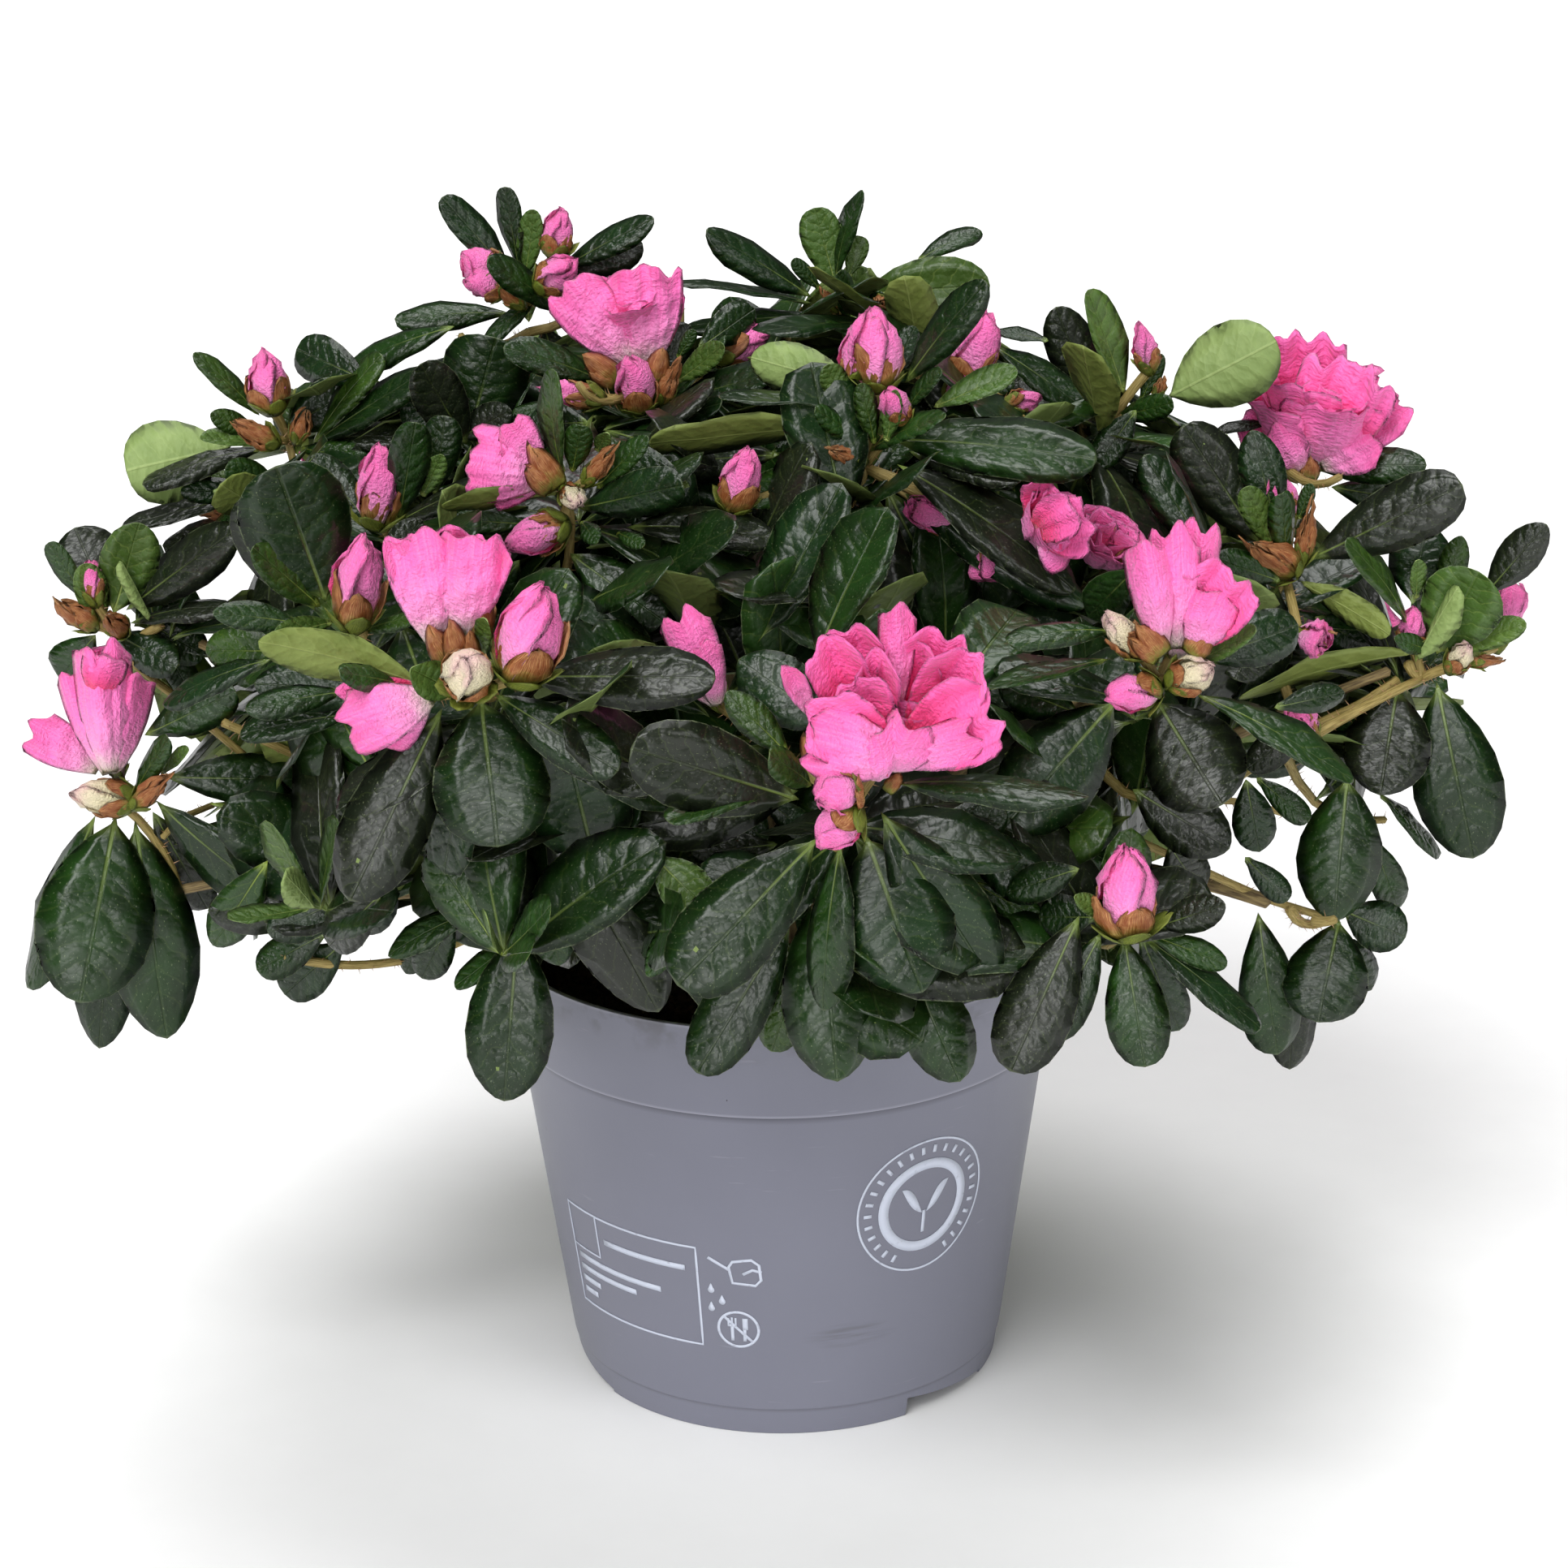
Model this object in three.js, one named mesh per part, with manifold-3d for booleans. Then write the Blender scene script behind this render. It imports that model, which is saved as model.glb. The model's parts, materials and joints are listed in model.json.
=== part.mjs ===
// A potted azalea: a low, wide, evergreen shrub on a short stem, in a round plastic nursery pot.
// Millimetres, +Z up. The origin is the centre of the pot's underside, -Y is the front of the
// plant and +X is to its right. Bearings are degrees from the front, towards +X.
import * as THREE from "three";
import { mergeVertices } from "three/addons/utils/BufferGeometryUtils.js";
import Module from "manifold-3d";

const wasm = await Module();
wasm.setup();

// ---------------------------------------------------------------- driving dimensions

const POT_RADIUS = 70; // outside, at the lip
const POT_HEIGHT = 113.7;
const POT_BASE_RADIUS = 53;
const POT_WALL = 1.5;
const RIM_DEPTH = 23.7; // the wider band under the lip
const RIM_FOOT_RADIUS = 66.8;
const RIM_STEP = 1.2; // how far the band stands out from the wall below it
const LIP_ROUND = 0.5;
const FOOT_HEIGHT = 7; // the slightly narrower ring that the pot stands on
const FOOT_STEP = 0.4;
const FLOOR_HEIGHT = 5.5; // the floor's underside, above the ground
const POT_SEGMENTS = 36;

const NOTCH_COUNT = 3; // drainage notches in the foot ring
const NOTCH_BEARING = 49; // the middle of the first notch
const NOTCH_WIDTH = 29;
const NOTCH_TALL_SIDE = 5;
const NOTCH_LOW_SIDE = 1;
const NOTCH_INNER_RADIUS = 37;
const NOTCH_OUTER_RADIUS = 64;

const DRAIN_COUNT = 6;
const DRAIN_RADIUS = 3.5;
const DRAIN_CIRCLE_RADIUS = 38;
const DRAIN_SIDES = 8;

const SOIL_LEVEL = 102.5; // at the pot's wall
const SOIL_CROWN = 1.5; // how much higher the middle is
const SOIL_FLAT_RADIUS = 16; // level ground round the stem's foot

const STEM_HEIGHT = 25;
const STEM_FOOT_RADIUS = 9.5;
const STEM_RADIUS = 6.2; // just above the root flare
const STEM_TOP_RADIUS = 5.2;
const STEM_FLARE_HEIGHT = 7;
const STEM_FLARE_STEPS = 2;
const STEM_TOP_ROUND = 2;
const STEM_LEAN = 0.1; // sideways run for each unit of height, to the right
const STEM_SEGMENTS = 10;

const BOUGH_FOOT_RADIUS = 2.6;
const SIDE_BOUGH_FOOT_RADIUS = 2.0;
const BOUGH_TIP_SHARE = 0.6; // tip radius over foot radius
const BOUGH_SIDES = 5;
const BOUGH_STEPS = 5;

const CROWN_HALF_WIDTH = 182; // along X
const CROWN_HALF_DEPTH = 168; // along Y
const CROWN_TOP = 282;
const CROWN_HEART = new THREE.Vector3(0, 0, 130); // bearings, rises and reaches start here

const MASS_DETAIL = 2; // subdivisions of the icosahedron behind each mass
const MASS_THICKNESS = 0.72; // outward half size over the half width
const MASS_UNEVENNESS = 0.2;
const LOBES_ROUND = 5; // shallow lobes round a mass, and from its foot to its top
const LOBES_UP = 4;
const LOBE_TURN = 2.4; // each mass's lobes are turned on by this many radians

const GAP = 0.3; // between pieces that touch
const POT_CLEARANCE = 3; // between hanging foliage and the pot
const RAY_STEP = 1; // how finely a mass feels its way to the pot
const WELD = 1e-4; // vertices nearer than this are one

// ---------------------------------------------------------------- the crown's plan

// Each mass of foliage: its bearing and rise in degrees and its reach from the crown's heart, and
// the half width that its leaves spread to. "tall" is the half height over the half width.
const CROWN_TIERS = {
  skirt: {
    tall: 0.9,
    masses: {
      front: { bearing: 4, rise: 13, reach: 140, spread: 46 },
      front_left: { bearing: -29, rise: 9, reach: 130, spread: 44 },
      left: { bearing: -57, rise: 7, reach: 130, spread: 42 },
      left_end: { bearing: -79, rise: 1, reach: 154, spread: 46 },
      front_right: { bearing: 31, rise: 12, reach: 142, spread: 47 },
      right: { bearing: 62, rise: 3, reach: 138, spread: 46 },
      right_rear: { bearing: 94, rise: 8, reach: 142, spread: 46 },
      back_right: { bearing: 125, rise: 9, reach: 144, spread: 50 },
      back: { bearing: 156, rise: 8, reach: 142, spread: 50 },
      back_middle: { bearing: 187, rise: 9, reach: 144, spread: 50 },
      back_left: { bearing: 218, rise: 8, reach: 142, spread: 50 },
      left_rear: { bearing: 249, rise: 8, reach: 144, spread: 48 },
    },
  },
  waist: {
    tall: 0.85,
    masses: {
      front: { bearing: 8, rise: 33, reach: 140, spread: 44 },
      front_left: { bearing: -31, rise: 33, reach: 140, spread: 46 },
      middle: { bearing: -11, rise: 48, reach: 112, spread: 32 },
      left: { bearing: -58, rise: 35, reach: 134, spread: 42 },
      left_end: { bearing: -92, rise: 22, reach: 160, spread: 40 },
      left_rear: { bearing: -108, rise: 37, reach: 154, spread: 47 },
      front_right: { bearing: 41, rise: 32, reach: 142, spread: 46 },
      right: { bearing: 76, rise: 36, reach: 138, spread: 40 },
      right_end: { bearing: 82, rise: 20, reach: 164, spread: 44 },
      right_rear: { bearing: 109, rise: 33, reach: 158, spread: 44 },
      back_right: { bearing: 139, rise: 31, reach: 152, spread: 52 },
      back: { bearing: 169, rise: 32, reach: 150, spread: 52 },
      back_left: { bearing: 199, rise: 31, reach: 152, spread: 52 },
      back_far_left: { bearing: 229, rise: 33, reach: 150, spread: 52 },
    },
  },
  crest: {
    tall: 0.75,
    masses: {
      left: { bearing: -84, rise: 50, reach: 124, spread: 40 },
      front_left: { bearing: -44, rise: 57, reach: 120, spread: 42 },
      front: { bearing: 12, rise: 69, reach: 112, spread: 42 },
      right: { bearing: 56, rise: 50, reach: 116, spread: 42 },
      top_right: { bearing: 104, rise: 67, reach: 122, spread: 40 },
      right_rear: { bearing: 114, rise: 50, reach: 134, spread: 38 },
      middle: { bearing: -118, rise: 73, reach: 120, spread: 46 },
      back_left: { bearing: -132, rise: 56, reach: 148, spread: 42 },
      back: { bearing: 158, rise: 64, reach: 134, spread: 46 },
      far_back: { bearing: 192, rise: 51, reach: 142, spread: 50 },
    },
  },
};

// Each bough: what it springs from and how far along that, the mass it runs to, and how far its
// middle arches up.
const BOUGHS = {
  front: { from: "stem", along: 0.45, to: "skirt_front", arch: 26 },
  left: { from: "stem", along: 0.5, to: "skirt_left", arch: 12 },
  right: { from: "stem", along: 0.42, to: "skirt_right", arch: 28 },
  back: { from: "stem", along: 0.48, to: "skirt_back_middle", arch: 24 },
  front_left: { from: "stem", along: 0.82, to: "waist_front_left", arch: 6 },
  front_right: { from: "stem", along: 0.85, to: "waist_front_right", arch: 4 },
  back_right: { from: "stem", along: 0.8, to: "waist_back_right", arch: 6 },
  back_left: { from: "stem", along: 0.84, to: "waist_back_far_left", arch: 6 },
  leader: { from: "stem", along: 0.9, to: "crest_middle", arch: -4 },
  low_left_end: { from: "left", along: 0.45, to: "skirt_left_end", arch: 12 },
  left_end: { from: "left", along: 0.3, to: "waist_left_end", arch: 4 },
  right_end: { from: "right", along: 0.35, to: "waist_right_end", arch: 4 },
  low_back_right: { from: "back", along: 0.3, to: "skirt_back_right", arch: 14 },
  low_back_left: { from: "back", along: 0.4, to: "skirt_back_left", arch: 12 },
  low_front_left: { from: "front", along: 0.4, to: "skirt_front_left", arch: 10 },
  right_rear: { from: "back_right", along: 0.3, to: "waist_right_rear", arch: 4 },
  top_front: { from: "front_right", along: 0.3, to: "crest_front", arch: 0 },
  top_back: { from: "leader", along: 0.45, to: "crest_back", arch: 0 },
  top_left: { from: "back_left", along: 0.35, to: "crest_back_left", arch: 0 },
  left_rear: { from: "front_left", along: 0.3, to: "waist_left", arch: 4 },
};

const COLOURS = {
  pot: { color: 0x7f7e88, roughness: 0.45, metalness: 0 },
  soil: { color: 0x1c120e, roughness: 0.95, metalness: 0 },
  bark: { color: 0x7a6644, roughness: 0.85, metalness: 0 },
  skirt: { color: 0x22361f, roughness: 0.5, metalness: 0 },
  waist: { color: 0x2a4225, roughness: 0.5, metalness: 0 },
  crest: { color: 0x34502a, roughness: 0.5, metalness: 0 },
};

// ---------------------------------------------------------------- solids and meshes

function solidOf(geometry) {
  const bare = geometry.index ? geometry.toNonIndexed() : geometry.clone();
  bare.deleteAttribute("normal");
  bare.deleteAttribute("uv");
  const merged = mergeVertices(bare, WELD);
  return new wasm.Manifold(
    new wasm.Mesh({
      numProp: 3,
      vertProperties: merged.attributes.position.array,
      triVerts: new Uint32Array(merged.index.array),
    }),
  );
}

function geometryOf(solid) {
  const mesh = solid.getMesh();
  const geometry = new THREE.BufferGeometry();
  geometry.setAttribute("position", new THREE.BufferAttribute(mesh.vertProperties, 3));
  geometry.setIndex(new THREE.BufferAttribute(mesh.triVerts, 1));
  geometry.computeVertexNormals();
  return geometry;
}

// The largest of the pieces that a cut leaves.
function mainPiece(solid) {
  return solid.decompose().reduce((a, b) => (b.volume() > a.volume() ? b : a));
}

function named(name, geometry, finish) {
  const mesh = new THREE.Mesh(geometry, new THREE.MeshStandardMaterial(COLOURS[finish]));
  mesh.name = name;
  return mesh;
}

// A profile of [radius, height] pairs, turned round +Z.
function turned(profile, segments = POT_SEGMENTS) {
  const points = profile.map(([r, z]) => new THREE.Vector2(r, z));
  return new THREE.LatheGeometry(points, segments).rotateX(Math.PI / 2);
}

function outward(bearing) {
  const angle = THREE.MathUtils.degToRad(bearing);
  return new THREE.Vector3(Math.sin(angle), -Math.cos(angle), 0);
}

// ---------------------------------------------------------------- pot and root ball

const RIM_FOOT_HEIGHT = POT_HEIGHT - RIM_DEPTH;
const WALL_TOP_RADIUS = RIM_FOOT_RADIUS - RIM_STEP;
const FLOOR_TOP = FLOOR_HEIGHT + POT_WALL;

function wallRadius(z) {
  return POT_BASE_RADIUS + ((WALL_TOP_RADIUS - POT_BASE_RADIUS) * z) / RIM_FOOT_HEIGHT;
}

function rimRadius(z) {
  const share = (z - RIM_FOOT_HEIGHT) / RIM_DEPTH;
  return RIM_FOOT_RADIUS + (POT_RADIUS - RIM_FOOT_RADIUS) * share;
}

// The inside of the pot's wall from the floor up to a height, as the root ball's side too.
function insideProfile(top, inset) {
  return [
    [rimRadius(top) - inset, top],
    [RIM_FOOT_RADIUS - inset, RIM_FOOT_HEIGHT],
    [WALL_TOP_RADIUS - inset, RIM_FOOT_HEIGHT - POT_WALL],
    [wallRadius(FLOOR_TOP) - inset, FLOOR_TOP],
  ];
}

function potShell() {
  return turned([
    [0, FLOOR_HEIGHT],
    [wallRadius(FLOOR_HEIGHT) - FOOT_STEP - POT_WALL, FLOOR_HEIGHT],
    [POT_BASE_RADIUS - FOOT_STEP - POT_WALL, 0],
    [POT_BASE_RADIUS - FOOT_STEP, 0],
    [wallRadius(FOOT_HEIGHT) - FOOT_STEP, FOOT_HEIGHT],
    [wallRadius(FOOT_HEIGHT), FOOT_HEIGHT + FOOT_STEP],
    [WALL_TOP_RADIUS, RIM_FOOT_HEIGHT],
    [RIM_FOOT_RADIUS, RIM_FOOT_HEIGHT],
    [POT_RADIUS, POT_HEIGHT - LIP_ROUND],
    [POT_RADIUS - LIP_ROUND, POT_HEIGHT],
    [POT_RADIUS - POT_WALL, POT_HEIGHT],
    ...insideProfile(POT_HEIGHT - LIP_ROUND, POT_WALL + LIP_ROUND / 2),
    [0, FLOOR_TOP],
  ]);
}

// A wedge of air under the foot ring, taller on one side than on the other.
function notchCutter(bearing) {
  const half = NOTCH_WIDTH / 2;
  const outline = new THREE.Shape([
    new THREE.Vector2(-half, -POT_WALL),
    new THREE.Vector2(half, -POT_WALL),
    new THREE.Vector2(half, NOTCH_LOW_SIDE),
    new THREE.Vector2(-half, NOTCH_TALL_SIDE),
  ]);
  const depth = NOTCH_OUTER_RADIUS - NOTCH_INNER_RADIUS;
  const wedge = new THREE.ExtrudeGeometry(outline, { depth, bevelEnabled: false });
  wedge.rotateX(Math.PI / 2); // the outline stands up, and the wedge runs along -Y
  wedge.translate(0, -NOTCH_INNER_RADIUS, 0);
  return wedge.rotateZ(THREE.MathUtils.degToRad(bearing));
}

function drainCutter(bearing) {
  const height = POT_WALL * 3;
  const drill = new THREE.CylinderGeometry(DRAIN_RADIUS, DRAIN_RADIUS, height, DRAIN_SIDES);
  const place = outward(bearing).multiplyScalar(DRAIN_CIRCLE_RADIUS);
  return drill.rotateX(Math.PI / 2).translate(place.x, place.y, FLOOR_HEIGHT);
}

function pot() {
  let shell = solidOf(potShell());
  for (let i = 0; i < NOTCH_COUNT; i += 1) {
    shell = shell.subtract(solidOf(notchCutter(NOTCH_BEARING + (360 / NOTCH_COUNT) * i)));
  }
  for (let i = 0; i < DRAIN_COUNT; i += 1) {
    shell = shell.subtract(solidOf(drainCutter((360 / DRAIN_COUNT) * i)));
  }
  return named("pot", geometryOf(shell), "pot");
}

function rootBall() {
  const inset = POT_WALL + LIP_ROUND / 2 + GAP;
  const [foot, ...above] = insideProfile(SOIL_LEVEL, inset).reverse();
  const bottom = FLOOR_TOP + GAP;
  const profile = [
    [0, bottom],
    [foot[0], bottom],
    ...above,
    [SOIL_FLAT_RADIUS, SOIL_LEVEL + SOIL_CROWN],
    [0, SOIL_LEVEL + SOIL_CROWN],
  ];
  return named("root_ball", turned(profile), "soil");
}

// ---------------------------------------------------------------- stem

const STEM_FOOT = SOIL_LEVEL + SOIL_CROWN + GAP;

function stemAxis(along) {
  const height = STEM_HEIGHT * along;
  return new THREE.Vector3(STEM_LEAN * height, 0, STEM_FOOT + height);
}

function stemGeometry(grow = 0) {
  const profile = [[0, -grow]];
  for (let i = 0; i <= STEM_FLARE_STEPS; i += 1) {
    const up = i / STEM_FLARE_STEPS;
    const flare = (STEM_FOOT_RADIUS - STEM_RADIUS) * (1 - up) ** 2;
    profile.push([STEM_RADIUS + flare + grow, i ? STEM_FLARE_HEIGHT * up : -grow]);
  }
  profile.push([STEM_TOP_RADIUS + grow, STEM_HEIGHT - STEM_TOP_ROUND]);
  profile.push([STEM_TOP_RADIUS - STEM_TOP_ROUND + grow, STEM_HEIGHT + grow]);
  profile.push([0, STEM_HEIGHT + grow]);
  const shear = new THREE.Matrix4().makeShear(0, 0, 0, 0, STEM_LEAN, 0);
  return turned(profile, STEM_SEGMENTS).applyMatrix4(shear).translate(0, 0, STEM_FOOT);
}

// ---------------------------------------------------------------- masses of foliage

function crownPlan() {
  const plan = [];
  for (const [tier, { tall, masses }] of Object.entries(CROWN_TIERS)) {
    for (const [place, { bearing, rise, reach, spread }] of Object.entries(masses)) {
      const angle = THREE.MathUtils.degToRad(rise);
      const out = outward(bearing);
      const centre = CROWN_HEART.clone();
      centre.addScaledVector(out, reach * Math.cos(angle));
      centre.z += reach * Math.sin(angle);
      const side = new THREE.Vector3(-out.y, out.x, 0);
      plan.push({ name: `${tier}_${place}`, tier, tall, spread, centre, out, side, index: plan.length });
    }
  }
  return plan;
}

const PLAN = crownPlan();

// How far a mass would reach in a direction if it stood alone: an egg with shallow lobes.
function freeReach(mass, direction) {
  const across = direction.dot(mass.side) / mass.spread;
  const outwards = direction.dot(mass.out) / (mass.spread * MASS_THICKNESS);
  const upwards = direction.z / (mass.spread * mass.tall);
  const egg = 1 / Math.hypot(across, outwards, upwards);
  const turn = Math.atan2(direction.y, direction.x);
  const phase = mass.index * LOBE_TURN;
  const lobes = Math.cos(LOBES_ROUND * turn + phase) * Math.cos(LOBES_UP * direction.z + phase);
  return egg * (1 - (MASS_UNEVENNESS * (1 - lobes)) / 2);
}

// How far a ray may go before it meets a plane with this outward normal and distance.
function planeReach(direction, normal, distance) {
  const facing = direction.dot(normal);
  return facing > 0 ? distance / facing : Infinity;
}

// Half way to a neighbour, in proportion to the two spreads, less half the gap.
function neighbourReach(mass, direction) {
  let reach = Infinity;
  for (const other of PLAN) {
    if (other === mass) continue;
    const way = other.centre.clone().sub(mass.centre);
    const distance = way.length();
    const share = (distance * mass.spread) / (mass.spread + other.spread);
    reach = Math.min(reach, planeReach(direction, way.normalize(), share - GAP / 2));
  }
  return reach;
}

const CROWN_BOX = [
  [new THREE.Vector3(1, 0, 0), CROWN_HALF_WIDTH],
  [new THREE.Vector3(-1, 0, 0), CROWN_HALF_WIDTH],
  [new THREE.Vector3(0, 1, 0), CROWN_HALF_DEPTH],
  [new THREE.Vector3(0, -1, 0), CROWN_HALF_DEPTH],
  [new THREE.Vector3(0, 0, 1), CROWN_TOP],
];

function crownBoxReach(mass, direction) {
  const reaches = CROWN_BOX.map(([normal, distance]) =>
    planeReach(direction, normal, distance - mass.centre.dot(normal)),
  );
  return Math.min(...reaches);
}

// A ray from a mass stops before it comes under the pot's lip and near its wall.
function clearOfPot(mass, direction, reach) {
  const stopRadius = POT_RADIUS + POT_CLEARANCE;
  const stopHeight = POT_HEIGHT + POT_CLEARANCE;
  for (let r = RAY_STEP; r < reach; r += RAY_STEP) {
    const point = mass.centre.clone().addScaledVector(direction, r);
    if (point.z < stopHeight && Math.hypot(point.x, point.y) < stopRadius) return r - RAY_STEP;
  }
  return reach;
}

function massGeometry(mass, grow = 0) {
  const ball = new THREE.IcosahedronGeometry(1, MASS_DETAIL);
  ball.deleteAttribute("normal");
  ball.deleteAttribute("uv");
  const geometry = mergeVertices(ball, WELD);
  const position = geometry.attributes.position;
  const direction = new THREE.Vector3();
  for (let i = 0; i < position.count; i += 1) {
    direction.fromBufferAttribute(position, i).normalize();
    const limits = [
      freeReach(mass, direction),
      neighbourReach(mass, direction),
      crownBoxReach(mass, direction),
    ];
    const reach = clearOfPot(mass, direction, Math.min(...limits)) + grow;
    position.setXYZ(i, ...mass.centre.clone().addScaledVector(direction, reach).toArray());
  }
  geometry.computeVertexNormals();
  return geometry;
}

// ---------------------------------------------------------------- boughs

// A tapering rod bent along a curve: a cylinder whose rings are carried to the curve's own frame.
function limbGeometry(curve, footRadius, tipRadius) {
  const rod = new THREE.CylinderGeometry(tipRadius, footRadius, 1, BOUGH_SIDES, BOUGH_STEPS);
  const frames = curve.computeFrenetFrames(BOUGH_STEPS, false);
  const position = rod.attributes.position;
  for (let i = 0; i < position.count; i += 1) {
    const along = position.getY(i) + 0.5;
    const step = Math.round(along * BOUGH_STEPS);
    const point = curve.getPointAt(along);
    point.addScaledVector(frames.normals[step], position.getX(i));
    point.addScaledVector(frames.binormals[step], -position.getZ(i));
    position.setXYZ(i, point.x, point.y, point.z);
  }
  return rod;
}

// A bough is planned first, so that the ones that spring from it know its line.
function planBoughs() {
  const lines = {};
  for (const [name, { from, along, to, arch }] of Object.entries(BOUGHS)) {
    const parent = lines[from];
    const start = parent ? parent.curve.getPointAt(along) : stemAxis(along);
    const end = PLAN.find((mass) => mass.name === to).centre;
    const middle = start.clone().lerp(end, 0.5);
    middle.z += arch;
    const curve = new THREE.QuadraticBezierCurve3(start, middle, end);
    const foot = parent ? SIDE_BOUGH_FOOT_RADIUS : BOUGH_FOOT_RADIUS;
    lines[name] = { curve, foot, tip: foot * BOUGH_TIP_SHARE };
  }
  return lines;
}

function boughMeshes() {
  const lines = planBoughs();
  let taken = solidOf(stemGeometry(GAP));
  for (const mass of PLAN) taken = taken.add(solidOf(massGeometry(mass, GAP)));
  const meshes = [];
  for (const [name, { curve, foot, tip }] of Object.entries(lines)) {
    const limb = solidOf(limbGeometry(curve, foot, tip));
    const free = mainPiece(limb.subtract(taken));
    taken = taken.add(solidOf(limbGeometry(curve, foot + GAP, tip + GAP)));
    meshes.push(named(`bough_${name}`, geometryOf(free), "bark"));
  }
  return meshes;
}

// ---------------------------------------------------------------- the plant in its pot

const shrub = new THREE.Group();
shrub.add(pot());
shrub.add(rootBall());
shrub.add(named("stem", stemGeometry(), "bark"));
for (const bough of boughMeshes()) shrub.add(bough);
for (const mass of PLAN) shrub.add(named(`foliage_${mass.name}`, massGeometry(mass), mass.tier));

export default shrub;
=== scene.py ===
import json
import math

import bmesh
import bpy
import numpy as np
from mathutils import Matrix, Vector

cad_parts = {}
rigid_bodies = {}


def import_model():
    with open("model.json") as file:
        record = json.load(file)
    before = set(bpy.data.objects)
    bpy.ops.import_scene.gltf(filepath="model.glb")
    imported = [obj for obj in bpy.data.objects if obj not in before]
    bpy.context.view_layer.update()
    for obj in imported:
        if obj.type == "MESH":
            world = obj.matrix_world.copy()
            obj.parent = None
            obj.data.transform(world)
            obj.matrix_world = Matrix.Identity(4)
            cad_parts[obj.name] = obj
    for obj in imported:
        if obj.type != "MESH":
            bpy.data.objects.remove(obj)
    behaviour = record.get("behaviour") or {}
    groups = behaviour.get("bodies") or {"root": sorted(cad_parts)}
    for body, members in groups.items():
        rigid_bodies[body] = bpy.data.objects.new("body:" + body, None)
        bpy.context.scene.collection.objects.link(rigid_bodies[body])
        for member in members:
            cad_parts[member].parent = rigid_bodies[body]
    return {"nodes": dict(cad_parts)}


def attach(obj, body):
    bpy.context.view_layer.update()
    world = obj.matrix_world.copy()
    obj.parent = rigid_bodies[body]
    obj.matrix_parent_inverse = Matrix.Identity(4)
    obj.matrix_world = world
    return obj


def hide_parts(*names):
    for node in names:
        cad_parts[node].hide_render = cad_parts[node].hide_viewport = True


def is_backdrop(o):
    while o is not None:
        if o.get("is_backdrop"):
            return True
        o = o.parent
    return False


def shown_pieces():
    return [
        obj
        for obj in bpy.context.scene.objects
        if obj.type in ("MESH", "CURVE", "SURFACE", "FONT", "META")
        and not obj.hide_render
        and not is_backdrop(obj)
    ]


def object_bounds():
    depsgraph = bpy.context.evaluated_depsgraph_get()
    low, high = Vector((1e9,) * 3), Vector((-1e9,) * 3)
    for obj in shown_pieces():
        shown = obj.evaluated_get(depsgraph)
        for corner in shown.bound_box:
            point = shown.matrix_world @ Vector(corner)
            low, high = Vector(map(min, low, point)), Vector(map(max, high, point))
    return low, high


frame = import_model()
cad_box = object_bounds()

# A potted azalea: glossy, quilted evergreen leaves in whorls at the ends of thin twigs, ruffled
# double blooms and papery buds, in a moulded nursery pot. Lengths are millimetres until a mesh
# is made, +Z is up, -Y is the plant's front. Bearings are degrees from the front, towards +X.

MM = 0.001
SEED = 417

# ---------------------------------------------------------------- the camera and its view

FRAME_SIDE = 1932  # the square frame in which places below are given: right, down
FOCAL = 5076.0  # in the same units
SENSOR = 36.0
CAMERA_ELEVATION = math.radians(19.65)
CAMERA_ROLL = math.radians(-0.805)
CAMERA_TARGET = np.array([1.08, 0.0, 148.8])
CAMERA_DISTANCE = 1000.0

BACK = np.array([0.0, -math.cos(CAMERA_ELEVATION), math.sin(CAMERA_ELEVATION)])
LEVEL = np.array([1.0, 0.0, 0.0])
RISE = np.cross(BACK, LEVEL)
RIGHT = LEVEL * math.cos(CAMERA_ROLL) + RISE * math.sin(CAMERA_ROLL)
UP = RISE * math.cos(CAMERA_ROLL) - LEVEL * math.sin(CAMERA_ROLL)
EYE = CAMERA_TARGET + BACK * CAMERA_DISTANCE


def seen(right, down, y):
    """The point at depth y that shows at this place in the frame."""
    middle = FRAME_SIDE / 2
    ray = RIGHT * (right - middle) - UP * (down - middle) - BACK * FOCAL
    return EYE + ray * ((y - EYE[1]) / ray[1])


def shown_at(point):
    """Where a point shows in the frame."""
    way = np.asarray(point) - EYE
    depth = -(way @ BACK)
    middle = FRAME_SIDE / 2
    return middle + FOCAL * (way @ RIGHT) / depth, middle - FOCAL * (way @ UP) / depth


def frame_unit(point):
    """How many millimetres one unit of the frame spans at a point."""
    return -((np.asarray(point) - EYE) @ BACK) / FOCAL


# ---------------------------------------------------------------- small helpers


def unit(v):
    v = np.asarray(v, float)
    return v / max(np.linalg.norm(v), 1e-9)


def outward(bearing):
    angle = math.radians(bearing)
    return np.array([math.sin(angle), -math.cos(angle), 0.0])


def across_to(direction, axis):
    """The part of a direction that is square to an axis, as a unit vector."""
    axis = unit(axis)
    return unit(np.asarray(direction, float) - axis * float(np.dot(direction, axis)))


def bend(start, middle, end, count):
    """Points on a quadratic curve."""
    t = np.linspace(0, 1, count)[:, None]
    return (1 - t) ** 2 * start + 2 * t * (1 - t) * middle + t**2 * end


def along_line(line, share):
    """The point at a share of a line's length."""
    steps = np.linalg.norm(np.diff(line, axis=0), axis=1)
    run = np.concatenate([[0], np.cumsum(steps)])
    return np.array([np.interp(share * run[-1], run, line[:, i]) for i in range(3)])


def bernstein(knots, s):
    """A smooth curve through the first and last knot, drawn towards the others."""
    n = len(knots) - 1
    return sum(
        math.comb(n, i) * s**i * (1 - s) ** (n - i) * knot for i, knot in enumerate(knots)
    )


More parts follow.
